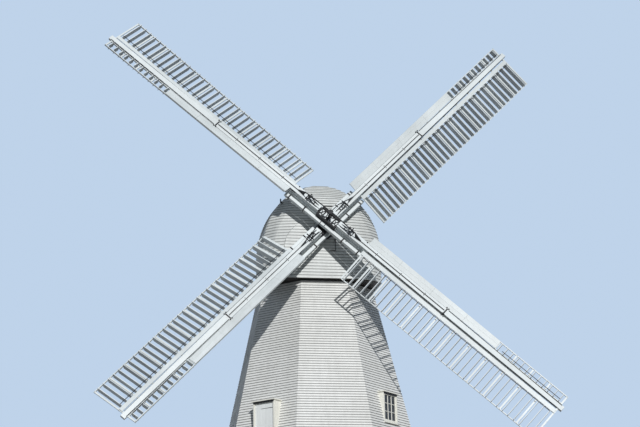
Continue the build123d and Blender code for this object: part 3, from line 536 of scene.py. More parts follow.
def box_out(sill):
    """Distance out from the axis of the upright face of a box that stands on a leaning side."""
    return smock_half(sill) + BOX_PROUD


def sill_board(angle):
    """A weathered board under a box: its profile slopes down to a rounded nose, carried along the
    wall."""
    shift, sill, width, _ = OPENINGS[angle]
    out = box_out(sill) + SILL_BOARD - np.array([SILL_BOARD_DEPTH, 0.01, 0, 0, 0.01,
                                                 SILL_BOARD_DEPTH])
    height = sill + np.array([-0.045, -0.045, -0.037, -0.018, -0.010, 0.002])
    reach = width / 2 + SILL_BOARD_REACH
    return along_side(angle, shift - reach, shift + reach, out, height)


sill_boards = joined(*[sill_board(angle) for angle in BOX_SIDES])
new_piece("box_sill_boards", sill_boards, "tower", "joinery_paint", joinery_paint)

# Doors
# Each leaf is of upright tongued boards nailed to ledges behind, painted white and hung on long
# wrought strap hinges. A ring handle on a rose lifts the latch.

DOOR_PAINT = (0.88, 0.90, 0.885, 1)
DOOR_GRIME = (0.66, 0.68, 0.665, 1)
LEAF_RECESS = 0.06
FRAME_WIDTH = 0.05
LEAF_BOARD = 0.009
# A leaf's straps: where they hang and end across it, and their heights. A ring: place and height.
DOOR_STRAPS = (-0.57, 0.42, (0.60, 2.05))
UPPER_STRAPS = (0.49, -0.05, (13.05, 14.46))
STAGE_STRAPS = (-0.39, 0.28, (9.85, 11.1))
DOOR_RING = (0.49, 1.20)
STAGE_RING = (0.32, 10.4)
STRAP_THICK = 0.006
STRAP_ROUND = 0.93
RING_RADIUS = 0.045
RING_BAR = 0.006
RING_PROUD = 0.016
ROSE = np.array([(0.032, 0.0), (0.032, 0.005), (0.024, 0.012)])
IRON = (0.009, 0.0095, 0.0105, 1)
IRON_RUST = (0.045, 0.026, 0.017, 1)


def leaf_boards(angle, opening, out, count):
    """Upright boards side by side over a leaf's front."""
    shift, sill, width, height = opening
    reach = width / 2 - FRAME_WIDTH - 0.003
    cuts = np.linspace(shift - reach, shift + reach, count + 1)
    places = np.stack([cuts[:-1] + 0.0004, cuts[1:] - 0.0004], 1)
    heights = (sill + FRAME_WIDTH + 0.004, sill + height - FRAME_WIDTH - 0.004)
    return blocks(angle, places, (out - 0.002, out + LEAF_BOARD), heights, 0.0015, True)


def strap_hinges(angle, hinge, tip, heights, out, width=0.026):
    """Iron straps across a leaf: the half width tapers along a strap and closes in a round tip."""
    tip_share = (1 - STRAP_ROUND) * np.sin(np.linspace(0.3, np.pi / 2, 5))
    share = np.concatenate([np.linspace(0, STRAP_ROUND, 7), STRAP_ROUND + tip_share])
    past = np.clip(share - STRAP_ROUND, 0, None) / 0.0701
    half = width * (1 - 0.45 * share) * np.sqrt(np.clip(1 - past ** 2, 0.002, 1))
    place = hinge + (tip - hinge) * share[:, None]
    height = np.asarray(heights)[:, None, None] + half[:, None] * np.array([-1, 1, 0.8, -0.8])
    depth = out + LEAF_BOARD + np.array([0, 0, STRAP_THICK, STRAP_THICK])
    return carried(on_side(angle, place, depth, height))


def circle(count):
    """Angles evenly round a circle."""
    return np.linspace(0, 2 * np.pi, count, endpoint=False)


def closed_ring(points):
    """A ring without ends: points[m, k] are the k points of the profile at its station m, and the
    last station joins the first."""
    index = np.arange(points.shape[0] * points.shape[1]).reshape(points.shape[:2])
    ahead = np.roll(index, -1, 0)
    faces = np.stack([index, np.roll(index, -1, 1), np.roll(ahead, -1, 1), ahead], -1)
    return points.reshape(-1, 3), faces.reshape(-1, 4).tolist()


def ring_handle(angle, place, height, out):
    """A round bar bent to a ring that hangs on a leaf, and the rose behind it: a small circle
    carried round a larger one, and a disc with a sloping edge."""
    around, bar, turn = circle(24)[:, None], circle(8), circle(16)
    reach = RING_RADIUS + RING_BAR * np.cos(bar)
    ring = on_side(angle, place + reach * np.sin(around),
                   out + LEAF_BOARD + RING_PROUD + RING_BAR * np.sin(bar),
                   height + reach * np.cos(around))
    size, depth = ROSE.T[:, :, None]
    rose = on_side(angle, place + size * np.sin(turn), out + LEAF_BOARD + depth,
                   height + RING_RADIUS + size * np.cos(turn))
    return joined(closed_ring(ring), carried(rose[None]))


def ironwork(name, rust=0.3, gloss=(0.40, 0.65)):
    """Black paint on iron: rust that breaks through in patches, and a pitted surface."""
    made, tree, coords = new_material(name, IRON, specular=0.3)
    patch = between(tree, noise(tree, coords, 5.0, 8.0), 0.0, rust, 0.52, 0.70)
    pits = noise(tree, coords, 38.0, 6.0)
    surface(tree, blend(tree, patch, IRON, IRON_RUST), between(tree, pits, *gloss), pits, 0.002)
    return made


def head_shade_strip(angle):
    """A flat black strip over the front edge of a box's head board: painted shade under the head.
    """
    shift, sill, width, tall = OPENINGS[angle]
    reach, face, top = width / 2 - 0.01, box_out(sill), sill + tall
    return blocks(angle, (shift - reach, shift + reach), (face - 0.01, face + 0.012),
                  (top - 0.065, top - 0.002), 0.003)


door_paint = paint("door_paint", DOOR_PAINT, DOOR_GRIME, 0.4, (9, 9, 1), (0.3, 0.5), 0.0012,
                   worn=0.15)
dress(door_paint, "ground_door", "upper_door", "stage_doors")
iron = ironwork("black_iron")
leaf_front = -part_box("ground_door")[0].y
upper_out, stage_out = (box_out(OPENINGS[angle][1]) - LEAF_RECESS
                        for angle in (UPPER_DOOR_SIDE, STAGE_DOOR_SIDES[0]))
leaves = joined(
    leaf_boards(0, (0.0, DOOR_SILL, DOOR_WIDTH, DOOR_HEIGHT), leaf_front, 8),
    leaf_boards(UPPER_DOOR_SIDE, OPENINGS[UPPER_DOOR_SIDE], upper_out, 6),
    *[leaf_boards(angle, OPENINGS[angle], stage_out, 6) for angle in STAGE_DOOR_SIDES])
new_piece("door_boards", leaves, "tower", "door_paint", door_paint,
          tone=tones(leaves, 16, -0.03, 0.02))
hinges = joined(
    strap_hinges(0, *DOOR_STRAPS, leaf_front),
    strap_hinges(UPPER_DOOR_SIDE, *UPPER_STRAPS, upper_out, 0.011),
    *[strap_hinges(angle, *STAGE_STRAPS, stage_out) for angle in STAGE_DOOR_SIDES],
    ring_handle(0, *DOOR_RING, leaf_front),
    *[ring_handle(angle, *STAGE_RING, stage_out) for angle in STAGE_DOOR_SIDES])
new_piece("door_ironwork", hinges, "tower", "black_iron", iron)
# Each box gets a black strip at its head that stands in for painted shade under the head board.
head_shade_strips = joined(*[head_shade_strip(angle) for angle in BOX_SIDES])
new_piece("head_shade_flashings", head_shade_strips, "tower", "black_iron", iron)

# Windows
# Casements in the smock have three panes by three, and sashes in the base three by four. The
# glazing bars are moulded pine, painted white, and hold panes of old glass that isn't quite flat.

GLASS = (0.010, 0.013, 0.016, 1)
GLASS_DUST = (0.35, 0.36, 0.36, 1)
PANES_ACROSS = 3
BAR_FACE = 0.024
BAR_DEPTH = 0.026
STILE = 0.042
STILE_PROUD = 0.012
RAIL_PROUD = 0.020
RAIL_FACE = 0.044
REVEAL = 0.11


def sash(angle, opening, out, panes_up, rail=None):
    """A sash: two stiles, two rails and the bars between, each a rectangle with its edges taken
    off, and a deeper meeting rail where `rail` gives its height."""
    shift, sill, width, height = opening
    left, right = shift - width / 2 + FRAME_WIDTH, shift + width / 2 - FRAME_WIDTH
    low, high = sill + FRAME_WIDTH, sill + height - FRAME_WIDTH
    depth = (out - 0.001, out + BAR_DEPTH)
    face = (out - 0.001, out + BAR_DEPTH + STILE_PROUD)
    inside, inside_up = (left + STILE, right - STILE), (low + STILE, high - STILE)
    across = np.linspace(*inside, PANES_ACROSS + 1)[1:-1, None] + (-BAR_FACE / 2, BAR_FACE / 2)
    upward = np.linspace(*inside_up, panes_up + 1)[1:-1, None] + (-BAR_FACE / 2, BAR_FACE / 2)
    parts = [
        blocks(angle, [(left, inside[0]), (inside[1], right)], face, (low, high), 0.004, True),
        blocks(angle, inside, face, [(low, inside_up[0]), (inside_up[1], high)], 0.004),
        blocks(angle, across, depth, inside_up, 0.006, True),
        blocks(angle, inside, depth, upward, 0.006)]
    if rail:
        parts.append(blocks(angle, (left, right), (out, out + BAR_DEPTH + RAIL_PROUD),
                            (rail - RAIL_FACE / 2, rail + RAIL_FACE / 2), 0.004))
    return joined(*parts)


glass, tree, coords = new_material("old_glass", GLASS, 0.06, 0.3)
dust = between(tree, noise(tree, coords, 7.0, 6.0), 0.0, 0.12)
surface(tree, blend(tree, dust, GLASS, GLASS_DUST),
        between(tree, noise(tree, coords, 11.0), 0.03, 0.14), noise(tree, coords, 2.2, 2.0), 0.02)
dress(glass, "window_glass")
sash_paint = paint("sash_paint", JOINERY_PAINT, JOINERY_GRIME, 0.3, (8, 8, 8), (0.28, 0.45), 0.0008)
smock_sashes = joined(*[sash(angle, OPENINGS[angle], box_out(OPENINGS[angle][1]) - LEAF_RECESS, 3)
                        for angle in SMOCK_WINDOW_SIDES])
new_piece("smock_casements", smock_sashes, "tower", "joinery_paint", sash_paint)
base_sashes = joined(*[sash(angle, (0.0, sill, WINDOW_WIDTH, WINDOW_HEIGHT),
                            BASE_HALF - REVEAL - LEAF_RECESS, 4, sill + WINDOW_HEIGHT / 2)
                       for angle, sill in WINDOW_PLACES])
new_piece("base_sashes", base_sashes, "tower", "joinery_paint", sash_paint)

# Walkway
# Planks of larch, laid out from the tower with a gap for the rain, rest on white painted joists
# that struts carry from the brickwork. The rail has a rounded coping, mitred at each corner.

STAGE_HALF = 6.35
DECK_TOP = 9.5
DECK_THICKNESS = 0.05
PLANK_PITCH = 0.1545
PLANK_GAP = 0.008
PLANK_EDGE = 0.004
LARCH = (0.42, 0.385, 0.32, 1)
LARCH_GREY = (0.30, 0.29, 0.27, 1)
RAIL_OUT = 6.28
RAIL_TOP = 10.55
COPING_HALF = 0.052
COPING_RISE = 0.028


def plank_profile(start, end, low, high, edge=PLANK_EDGE):
    """A plank's six-sided profile, from start to end and from low to high: a rectangle with the two
    edges of its high face taken off by `edge`."""
    across = np.stack([start, end, end, end - edge, start + edge, start], -1)
    return across, np.array([low, low, high - edge, high, high, high - edge])


def stage_planks(angle):
    """Planks that run outwards. Each corner of a plank's section starts at the wall or at the mitre
    with the next side, where its distance out is its place over tan 22.5."""
    count = int(2 * STAGE_HALF * HALF_SIDE / PLANK_PITCH)
    middle = (np.arange(count) - (count - 1) / 2) * PLANK_PITCH
    half = (PLANK_PITCH - PLANK_GAP) / 2
    place, height = plank_profile(middle - half, middle + half, DECK_TOP - DECK_THICKNESS, DECK_TOP)
    start = np.maximum(BASE_HALF + 0.012, np.abs(place) / HALF_SIDE + 0.004)
    out = np.stack([start, np.maximum(STAGE_HALF, start)], 1)
    return carried(on_side(angle, place[:, None], out, height))


def coping(angle):
    """A rail's coping: flat below and half round above, mitred at tan 22.5 of its distance out."""
    turn = np.linspace(0, np.pi, 9)
    out = RAIL_OUT + COPING_HALF * np.cos(turn)
    height = RAIL_TOP + 0.004 + COPING_RISE * np.sin(turn)
    return along_side(angle, -out * HALF_SIDE, out * HALF_SIDE, out, height)


larch = paint("larch_planks", LARCH, LARCH_GREY, 0.95, (7, 7, 1.5), (0.65, 0.9), 0.003, 0.15)
planks = joined(*[stage_planks(angle) for angle in SIDE_NAMES])
plank_piece = new_piece("walkway_planks", planks, "tower", "stage_timber", larch,
                        tone=tones(planks, 12, -0.16, 0.12))
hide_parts("stage_deck")
stage_paint = paint("stage_paint", PINE_PAINT, PINE_GRIME, 0.6, (4, 4, 4), worn=0.5)
dress(stage_paint, "stage_joists", "stage_struts", "stage_railing")
copings = joined(*[coping(angle) for angle in SIDE_NAMES])
new_piece("rail_coping", copings, "tower", "stage_timber", stage_paint)

# Curb
# A ring of oak on top of the smock carries the cap, built up of curved timbers bolted end to end
# and dressed flat, dark with grease from the cap's turning.

OAK_COLOUR = (0.032, 0.027, 0.022, 1)
OAK_GREASE = (0.012, 0.011, 0.010, 1)

oak = paint("greased_oak", OAK_COLOUR, OAK_GREASE, 0.9, (3, 3, 12), (0.35, 0.7), 0.003, 0.15)
dress(oak, "curb", "cap_sill", "cap_frame")

# Cap
# Boards bent round ribs in level courses cover the boat-shaped cap, each lapped over the one below.
# They run the full length of each side, and meet over the ridge towards both ends.

CAP_BOTTOM = 19.226
CAP_SPRING = 20.3
CAP_FRONT = -2.24
CAP_REAR = 2.40
# Stations from front to rear: place along the cap, half width, height of the ridge.
CAP_STATIONS = np.array([(-2.17, 1.45, 21.50), (-2.05, 1.80, 22.28), (-1.70, 2.13, 22.80),
                         (0.0, 2.11, 23.08), (1.5, 1.85, 22.93), (2.33, 1.40, 22.50)])
CAP_COLUMNS = 60
CAP_BOARD_SHOWS = 0.112
CAP_LAP = 0.105
CAP_CLEAR = 0.020
CAP_FOOT = 0.022
CAP_HEAD = 0.006
CAP_STEP = 0.01
CAP_PAINT = (0.66, 0.675, 0.655, 1)
CAP_GRIME = (0.47, 0.48, 0.455, 1)


def cap_lines(y):
    """Half width and height over the spring line at places along the cap, from its stations."""
    return (np.interp(y, CAP_STATIONS[:, 0], CAP_STATIONS[:, 1]),
            np.interp(y, CAP_STATIONS[:, 0], CAP_STATIONS[:, 2]) - CAP_SPRING)


def cap_point(y, z, clear):
    """A point of the cap's right side at a place along it and a height: the side is upright to the
    spring line and half an oval above. It is moved out by `clear` along the normal, whose part
    along the cap comes from how the half width and the rise change over a short step."""
    half, rise = cap_lines(y)
    lift = np.clip((z - CAP_SPRING) / rise, 0, 1)
    x = half * np.sqrt(1 - lift ** 2)
    (half_0, rise_0), (half_1, rise_1) = cap_lines(y - CAP_STEP), cap_lines(y + CAP_STEP)
    back = x ** 2 / half ** 3 * (half_1 - half_0) + lift ** 2 / rise * (rise_1 - rise_0)
    out = np.stack([x / half ** 2, -back / (2 * CAP_STEP), lift / rise], -1)
    out /= np.linalg.norm(out, axis=-1, keepdims=True)
    return np.stack([x, y, z], -1) + clear * out


def cap_levels():
    """Heights of the boards' feet, a board's width apart round the middle section."""
    turn = np.linspace(0, np.pi / 2, 4000)
    half, rise = cap_lines(np.array(0.0))
    x, z = half * np.cos(turn), CAP_SPRING + rise * np.sin(turn)
    upright = CAP_SPRING - CAP_BOTTOM
    way = np.concatenate([[0], np.cumsum(np.hypot(np.diff(x), np.diff(z)))]) + upright
    feet = np.arange(0, way[-1] - 0.2, CAP_BOARD_SHOWS)
    return np.where(feet < upright, CAP_BOTTOM + feet, np.interp(feet, way, z))


def cap_course(foot, head):
    """One board round the right side: its ends are at the cap's own ends, or on the middle line
    where the ridge comes down to the board's foot. Places along it are closer towards the ends. The
    second result is how far up the board each point is, from 0 at its foot to 1 at its head."""
    fine = np.linspace(CAP_STATIONS[0, 0], CAP_STATIONS[-1, 0], 40001)
    _, rise = cap_lines(fine)
    under = fine[CAP_SPRING + rise > foot + 0.002]
    share = (1 - np.cos(np.linspace(0, np.pi, CAP_COLUMNS))) / 2
    y = under[0] + (under[-1] - under[0]) * share
    _, rise = cap_lines(y)
    ridge = CAP_SPRING + rise
    low, high = np.minimum(foot, ridge), np.minimum(head, ridge)
    row = np.stack([cap_point(y, low, BOARD_BACK), cap_point(y, low, CAP_CLEAR + CAP_FOOT),
                    cap_point(y, high, CAP_CLEAR + CAP_HEAD), cap_point(y, high, BOARD_BACK)], 1)
    row[0, :, 0] *= under[0] == fine[0]
    row[-1, :, 0] *= under[-1] == fine[-1]
    return row, (np.stack([low, low, high, high], 1) - foot) / (head - foot)


levels = cap_levels()
tops = np.append(levels[1:], levels[-1] + CAP_BOARD_SHOWS / 3)
cap_rows, cap_rises = (np.stack(each) for each in zip(
    *[cap_course(foot, top + CAP_LAP * (top - foot)) for foot, top in zip(levels, tops)]))
cap_rises = cap_rises.ravel()
right_boards, left_boards = carried(cap_rows), carried(cap_rows * (-1, 1, 1))
# The cap's boards carry painted shade under each lap, a share of 0.6.
cap_paint = paint("cap_paint", CAP_PAINT, CAP_GRIME, 0.55, (2, 2, 9), worn=0.25, laps=0.6)
cap_tones = tones(right_boards, 4 * CAP_COLUMNS, -0.05, 0.03)
new_piece("cap_boards_right", right_boards, "cap", "cap_boards", cap_paint, tone=cap_tones,
          rise=cap_rises)
new_piece("cap_boards_left", left_boards, "cap", "cap_boards", cap_paint,
          tone=np.roll(cap_tones, 4 * CAP_COLUMNS), rise=cap_rises)
dress(cap_paint, "cap_front", "cap_rear", "cap_roof_right", "cap_roof_left")

NECK_HOLE = (20.965, 0.28)
FRONT_TOP = 21.47
REAR_BOTTOM = 19.78
REAR_TOP = 22.47
PANEL_LAP = 0.008
PANEL_BACK = -0.004


def panel_boards(y, outward, bottom, top, station, hole=None):
    """Level lapped boards on an upright end of the cap, as wide at their foot and head as the half
    oval of the end's station. `hole` is a round passage, its height and radius, that the boards
    stop at."""
    foot = np.arange(bottom, top - 0.03, CAP_BOARD_SHOWS)
    head = np.minimum(foot + CAP_BOARD_SHOWS + PANEL_LAP, top)
    height = np.stack([foot, foot, head, head], 1)
    out = y + outward * np.array([PANEL_BACK, CAP_FOOT, CAP_HEAD, PANEL_BACK])
    _, half, ridge = CAP_STATIONS[station]
    lift = np.clip(height - CAP_SPRING, 0, None) / (ridge - CAP_SPRING)
    end = half * np.sqrt(np.clip(1 - lift ** 2, 0, 1))
    start = -end
    if hole:
        centre, radius = hole
        near = np.abs(height - centre).min(1) < radius
        chord = np.sqrt(np.clip(radius ** 2 - (height.mean(1) - centre) ** 2, 0.0004, None))
        inner = np.repeat(chord[near][:, None], 4, 1)
        start = np.concatenate([start[~near], start[near], inner])
        end = np.concatenate([end[~near], -inner, end[near]])
        height = np.concatenate([height[~near], height[near], height[near]])
    place = np.stack([start, end], 1)
    return carried(np.stack(np.broadcast_arrays(place, out, height[:, None]), -1))


front_panel = panel_boards(CAP_FRONT, -1, CAP_BOTTOM, FRONT_TOP, 0, NECK_HOLE)
rear_panel = panel_boards(CAP_REAR, 1, REAR_BOTTOM, REAR_TOP, -1)
for panel_name, panel in (("cap_front_boards", front_panel), ("cap_rear_boards", rear_panel)):
    new_piece(panel_name, panel, "cap", "cap_boards", cap_paint,
              tone=tones(panel, 8, -0.05, 0.03), rise=BOARD_RISE)

# Ironwork on the cap's front
# Small pieces of black painted iron: a plate on the slot that paints the shade of its opening, a
# thin cranked rod held by an eye, a lug at the left edge, and a weather ring round the shaft,
# screwed through the boards.

SLOT_HEIGHT = 21.94
SLOT_SHADE_ACROSS = (0.02, 0.35)
SLOT_SHADE_HEIGHTS = (21.925, 21.952)
SLOT_SHADE_EDGE = 0.004
ROD_POINTS = np.array([(0.38, -2.33, 20.66), (0.38, -2.33, 20.23), (0.19, -2.33, 20.23),
                       (0.19, -2.25, 20.23)])
ROD_RADIUS = 0.012
EYE_RADIUS = 0.02
LUG_PLACE = (-1.75, 22.08)
LUG_RADIUS = 0.026
HUB = np.array([0, -3.2, 21.2])
SHAFT_TILT = np.radians(13.5)
SHAFT_FORWARD = np.array([0, -np.cos(SHAFT_TILT), np.sin(SHAFT_TILT)])
SHAFT_UP = np.array([0, np.sin(SHAFT_TILT), np.cos(SHAFT_TILT)])
COLLAR_PLACE = CAP_FRONT - 0.03
COLLAR_REACH = [0.240, 0.330, 0.330, 0.310, 0.265, 0.240]
COLLAR_FRONT = [-0.05, -0.05, 0.012, 0.030, 0.045, 0.045]


def bars_between(starts, ends, radius, sides=6):
    """Straight round bars: a regular ring of `sides` points at each start and end, square to the
    line between them, and closed at both."""
    starts, ends = np.atleast_2d(starts), np.atleast_2d(ends)
    way = ends - starts
    way = way / np.linalg.norm(way, axis=1, keepdims=True)
    lean = np.where(np.abs(way[:, 2:]) < 0.9, np.array([[0, 0, 1.0]]), np.array([[1.0, 0, 0]]))
    first = np.cross(way, lean)
    first /= np.linalg.norm(first, axis=1, keepdims=True)
    second = np.cross(way, first)
    turn = circle(sides)[:, None]
    ring = radius * (first[:, None] * np.cos(turn) + second[:, None] * np.sin(turn))
    return carried(np.stack([starts[:, None] + ring, ends[:, None] + ring], 1))


def shelf(x, y, z, edge):
    """Boards of the cap with their edges taken off, from rows of (low, high) along each axis."""
    return blocks(0, x, -np.asarray(y)[..., ::-1], z, edge)


slot_y = np.interp(SLOT_HEIGHT, CAP_STATIONS[:2, 2], CAP_STATIONS[:2, 0]) - CAP_CLEAR - CAP_FOOT
# The black plate on the slot is painted shade that stands for the dark opening of the slot.
cover = shelf(SLOT_SHADE_ACROSS, (slot_y - 0.022, slot_y + 0.06), SLOT_SHADE_HEIGHTS, SLOT_SHADE_EDGE)
rod = bars_between(ROD_POINTS[:-1], ROD_POINTS[1:], ROD_RADIUS)
eye = bars_between([(0.38, -2.34, 20.62)], [(0.38, -2.25, 20.62)], EYE_RADIUS)
lug_y, lug_z = (np.array([measure]) for measure in LUG_PLACE)
lug_foot, lug_end = (cap_point(lug_y, lug_z, clear)[0] * (-1, 1, 1) for clear in (0.02, 0.19))
lugs = bars_between([lug_foot, lug_end - (0, 0, 0.09), (-2.10, -1.72, 20.72)],
                    [lug_end, lug_end + (0, 0, 0.07), (-2.185, -1.72, 20.72)], LUG_RADIUS)
new_piece("cap_ironwork", joined(cover, rod, eye, lugs), "cap", "black_iron", iron)


def neck_collar():
    """A weather ring on the front panel round the shaft: a rounded profile carried round a circle
    square to the shaft, 30 mm clear of it."""
    height = HUB[2] - (COLLAR_PLACE - HUB[1]) * np.tan(SHAFT_TILT)
    around = circle(48)[:, None, None]
    side = np.cos(around) * np.array([1.0, 0, 0]) + np.sin(around) * SHAFT_UP
    reach, front = np.array([COLLAR_REACH, COLLAR_FRONT])[:, :, None]
    return closed_ring(np.array([0, COLLAR_PLACE, height]) + reach * side + front * SHAFT_FORWARD)


new_piece("neck_collar", neck_collar(), "cap", "black_iron", iron)

# Shaft bearings
# Two blocks of cast iron with brass linings carry the windshaft, the neck bearing on the breast
# beam and the tail bearing on its cross beam, greased with tallow.

dress(iron, "shaft_bearings")

# Fantail
# Behind the cap the two main timbers run out to a small deck. Two braced posts there hold the fan,
# a wheel of eight boards on arms, each pitched to the wind, which turns the cap.

FAN_PLACE = np.array([0.0, 4.25, 21.75])
FAN_TURNS = np.arange(8) * 45.0
FAN_PITCH = np.radians(28.0)
FAN_BOARD = 0.020
FAN_START = 0.58
FAN_RADIUS = 1.60
FAN_ROOT = 0.33
FAN_TIP = 0.62
FAN_TIE = 0.007
FAN_HUB = np.array([(-0.125, 0.05), (-0.125, 0.125), (-0.112, 0.138), (0.112, 0.138),
                    (0.125, 0.125), (0.125, 0.05)])
FAN_BATTENS = (0.14, 0.86)
FAN_PLANKS = 17
FAN_PLANK_GAP = 0.006
FAN_WHITE = (0.72, 0.73, 0.71, 1)


def fan_directions(turn):
    """Outward, chord and face directions of the fan's boards at angles round the wheel."""
    t = np.radians(turn)[:, None]
    outward = np.hstack([np.zeros_like(t), np.sin(t), np.cos(t)])
    sideways = np.hstack([np.zeros_like(t), np.cos(t), -np.sin(t)])
    chord = sideways * np.cos(FAN_PITCH) + np.array([1.0, 0, 0]) * np.sin(FAN_PITCH)
    return outward, chord, np.cross(chord, outward)


def fan_battens(share, lift):
    """Battens across the fan's boards, on one face of them: a rectangle with its edges taken off
    carried along the chord, as long as the board is wide there."""
    outward, chord, face = (each[:, None, None] for each in fan_directions(FAN_TURNS))
    at = FAN_START + (FAN_RADIUS - FAN_START) * share
    half = (FAN_ROOT + (FAN_TIP - FAN_ROOT) * share) / 2 - 0.006
    low, high = FAN_BOARD / 2 - 0.002, FAN_BOARD / 2 + 0.018
    along, depth = plank_profile(at - 0.025, at + 0.025, low, high)
    ends = np.array([-half, half])[:, None, None]
    return carried(FAN_PLACE + ends * chord + along[:, None] * outward
                   + lift * depth[:, None] * face)


fan_paint = paint("fan_paint", FAN_WHITE, CAP_GRIME, 0.55, (6, 6, 6), worn=0.4)
dress(fan_paint, "fan_posts", "fan_wheel")
battens = joined(*[fan_battens(share, lift) for share in FAN_BATTENS for lift in (1, -1)])
new_piece("fan_battens", battens, "cap", "fan_timber", fan_paint)
tie_ends = FAN_PLACE + FAN_BATTENS[1] * FAN_RADIUS * fan_directions(FAN_TURNS)[0]
fan_ties = bars_between(tie_ends, np.roll(tie_ends, -1, 0), FAN_TIE)
hub_x, hub_reach = FAN_HUB.T[:, :, None]
hub_points = FAN_PLACE + np.stack(np.broadcast_arrays(
    hub_x, hub_reach * np.sin(circle(28)), hub_reach * np.cos(circle(28))), -1)
new_piece("fan_ironwork", joined(fan_ties, carried(hub_points[None])), "cap", "black_iron", iron)
deck_low, deck_high = (np.array(point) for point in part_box("fan_deck"))
edges = np.linspace(deck_low[1], deck_high[1], FAN_PLANKS + 1)
plank_y = np.stack([edges[:-1] + FAN_PLANK_GAP / 2, edges[1:] - FAN_PLANK_GAP / 2], 1)
fan_planks = shelf((deck_low[0], deck_high[0]), plank_y, (deck_low[2], deck_high[2]), PLANK_EDGE)
fan_deck_piece = new_piece("fan_deck_planks", fan_planks, "cap", "fan_timber", larch,
                           tone=tones(fan_planks, 16, -0.16, 0.12))
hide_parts("fan_deck")

# Windshaft
# A long shaft of cast iron, painted black, tilts down towards the tail of the cap. Its head, the
# canister, is cast with two sockets that cross, and the stocks are wedged into them with oak.

SAILS_AT_REST = 44.0
STOCK_OFFSET = 0.42
STOCK_SIZE = 0.30
SAIL_HEEL = 1.798
SAIL_END = 10.433
WEATHER_HEEL = 19.0
WEATHER_TIP = 13.3
WHIP_BACK = -0.10
CANISTER_FRONT = -0.055
CANISTER_BOLTS = 0.172
CELLS = np.array([(-0.385, -0.230), (-0.200, 0.200), (0.230, 0.385)])
CELL_SIDE = 0.145
BRACE_RADIUS = 0.013
WEDGE_SIDE = 0.08
WEDGE_HALF = 0.035
WEDGE_ENDS = ((0.49, 0.016), (0.40, 0.004))
BLOCKS_ALONG = np.array([(-0.375, -0.240), (-0.190, -0.055), (0.055, 0.190), (0.240, 0.375)])


def on_sail(number, across, along, front, weathered=True):
    """Points on a sail, counted clockwise from the upper right, from arrays: across to the trailing
    edge, along the whip, and to the front, all turned by the sail's weather at that place."""
    turn = np.radians(SAILS_AT_REST + 90 * number)
    sideways = np.array([1.0, 0, 0]) * np.cos(turn) - SHAFT_UP * np.sin(turn)
    outward = np.array([1.0, 0, 0]) * np.sin(turn) + SHAFT_UP * np.cos(turn)
    across, along, front = (each[..., None] for each in np.broadcast_arrays(across, along, front))
    share = (along - SAIL_HEEL) / (SAIL_END - SAIL_HEEL)
    w = np.radians(WEATHER_HEEL + (WEATHER_TIP - WEATHER_HEEL) * share) * weathered
    x = across * np.cos(w) + front * np.sin(w)
    z = front * np.cos(w) - across * np.sin(w)
    hub = HUB - (STOCK_OFFSET if number % 2 == 0 else 0) * SHAFT_FORWARD
    return hub + along * outward + x * sideways + z * SHAFT_FORWARD


def bolts(number, across, along, front, radius=0.017, height=0.014, weathered=False):
    """Six-sided nuts on a sail's front: a hexagon that narrows a little at its top."""
    across, along = (np.reshape(each, (-1, 1, 1)) for each in np.broadcast_arrays(across, along))
    size = np.array([[1.0], [1.0], [0.75]]) * radius
    x = across + size * np.cos(circle(6))
    y = along + size * np.sin(circle(6))
    z = front + np.array([[-0.004], [height * 0.7], [height]])
    return carried(on_sail(number, x, y, z, weathered))


def on_each(make, *values):
    """A shape made for each of the four sails, as one."""
    return joined(*[make(number, *values) for number in range(4)])


def socket_blocks(number):
    """White painted blocks that close the front of the outer socket round its ribs: a rectangle
    with its front edges taken off, carried along the stock."""
    x, z = plank_profile(-0.125, 0.125, -0.06, -0.034, 0.006)
    return carried(on_sail(number, x, BLOCKS_ALONG[:, :, None], z, False))


def wedges(number):
    """Two oak wedges driven into the mouth of a socket over a stock's front: a thick end outwards
    and a thin end within."""
    x = np.reshape((-WEDGE_SIDE, WEDGE_SIDE), (2, 1, 1)) + np.array([-1, 1, 1, -1]) * WEDGE_HALF
    along, thick = np.array(WEDGE_ENDS).T[:, :, None]
    z = WHIP_BACK + np.hstack([np.full((2, 2), -0.002), thick, thick])
    return carried(on_sail(number, x, along, z, False))


cast_iron = ironwork("cast_iron", 0.2, (0.45, 0.7))
dress(cast_iron, "windshaft")
brace_side = np.tile([-CELL_SIDE, CELL_SIDE], len(CELLS))
brace_low, brace_high = np.repeat(CELLS, 2, 0).T
lattice = bars_between(on_sail(1, brace_side, brace_low, -0.012, False),
                       on_sail(1, -brace_side, brace_high, -0.012, False), BRACE_RADIUS)
rim_bolts = bolts(1, np.array([-1, -1, 1, 1, 0, 0]) * CANISTER_BOLTS,
                  [-0.3, 0.3, -0.3, 0.3, -0.408, 0.408], 0.006)
socket_bolts = joined(*[bolts(number, [-CANISTER_BOLTS, CANISTER_BOLTS], 0.38, CANISTER_FRONT)
                        for number in (0, 2)])
canister_irons = joined(lattice, rim_bolts, socket_bolts)
new_piece("canister_ironwork", canister_irons, "sails", "black_iron", iron)
new_piece("stock_wedges", on_each(wedges), "sails", "sail_timber", oak)

# Stocks and clamps
# Each stock is one long baulk of pitch pine, thickest in the canister, painted white. A clamp lies
# along each of its sides, rounded at the ends and bound on with iron bands and bolts.

SAIL_WHITE = (0.72, 0.765, 0.765, 1)
SAIL_GRIME = (0.40, 0.43, 0.43, 1)
CLAMP_LENGTH = 1.80
CLAMP_WIDTH = 0.12
CLAMP_DEPTH = 0.15
CLAMP_SIDE = 0.255
CLAMP_EDGE = 0.01
CLAMP_MIDDLE = WHIP_BACK - STOCK_SIZE / 2
CLAMP_BAND = CLAMP_MIDDLE + CLAMP_DEPTH / 2 + 0.008
CLAMP_BOLTS = (0.9, 1.6)
THROUGH_BOLTS = (2.2, 3.3, 4.4)
END_BOLTS = (5.30, 5.386)


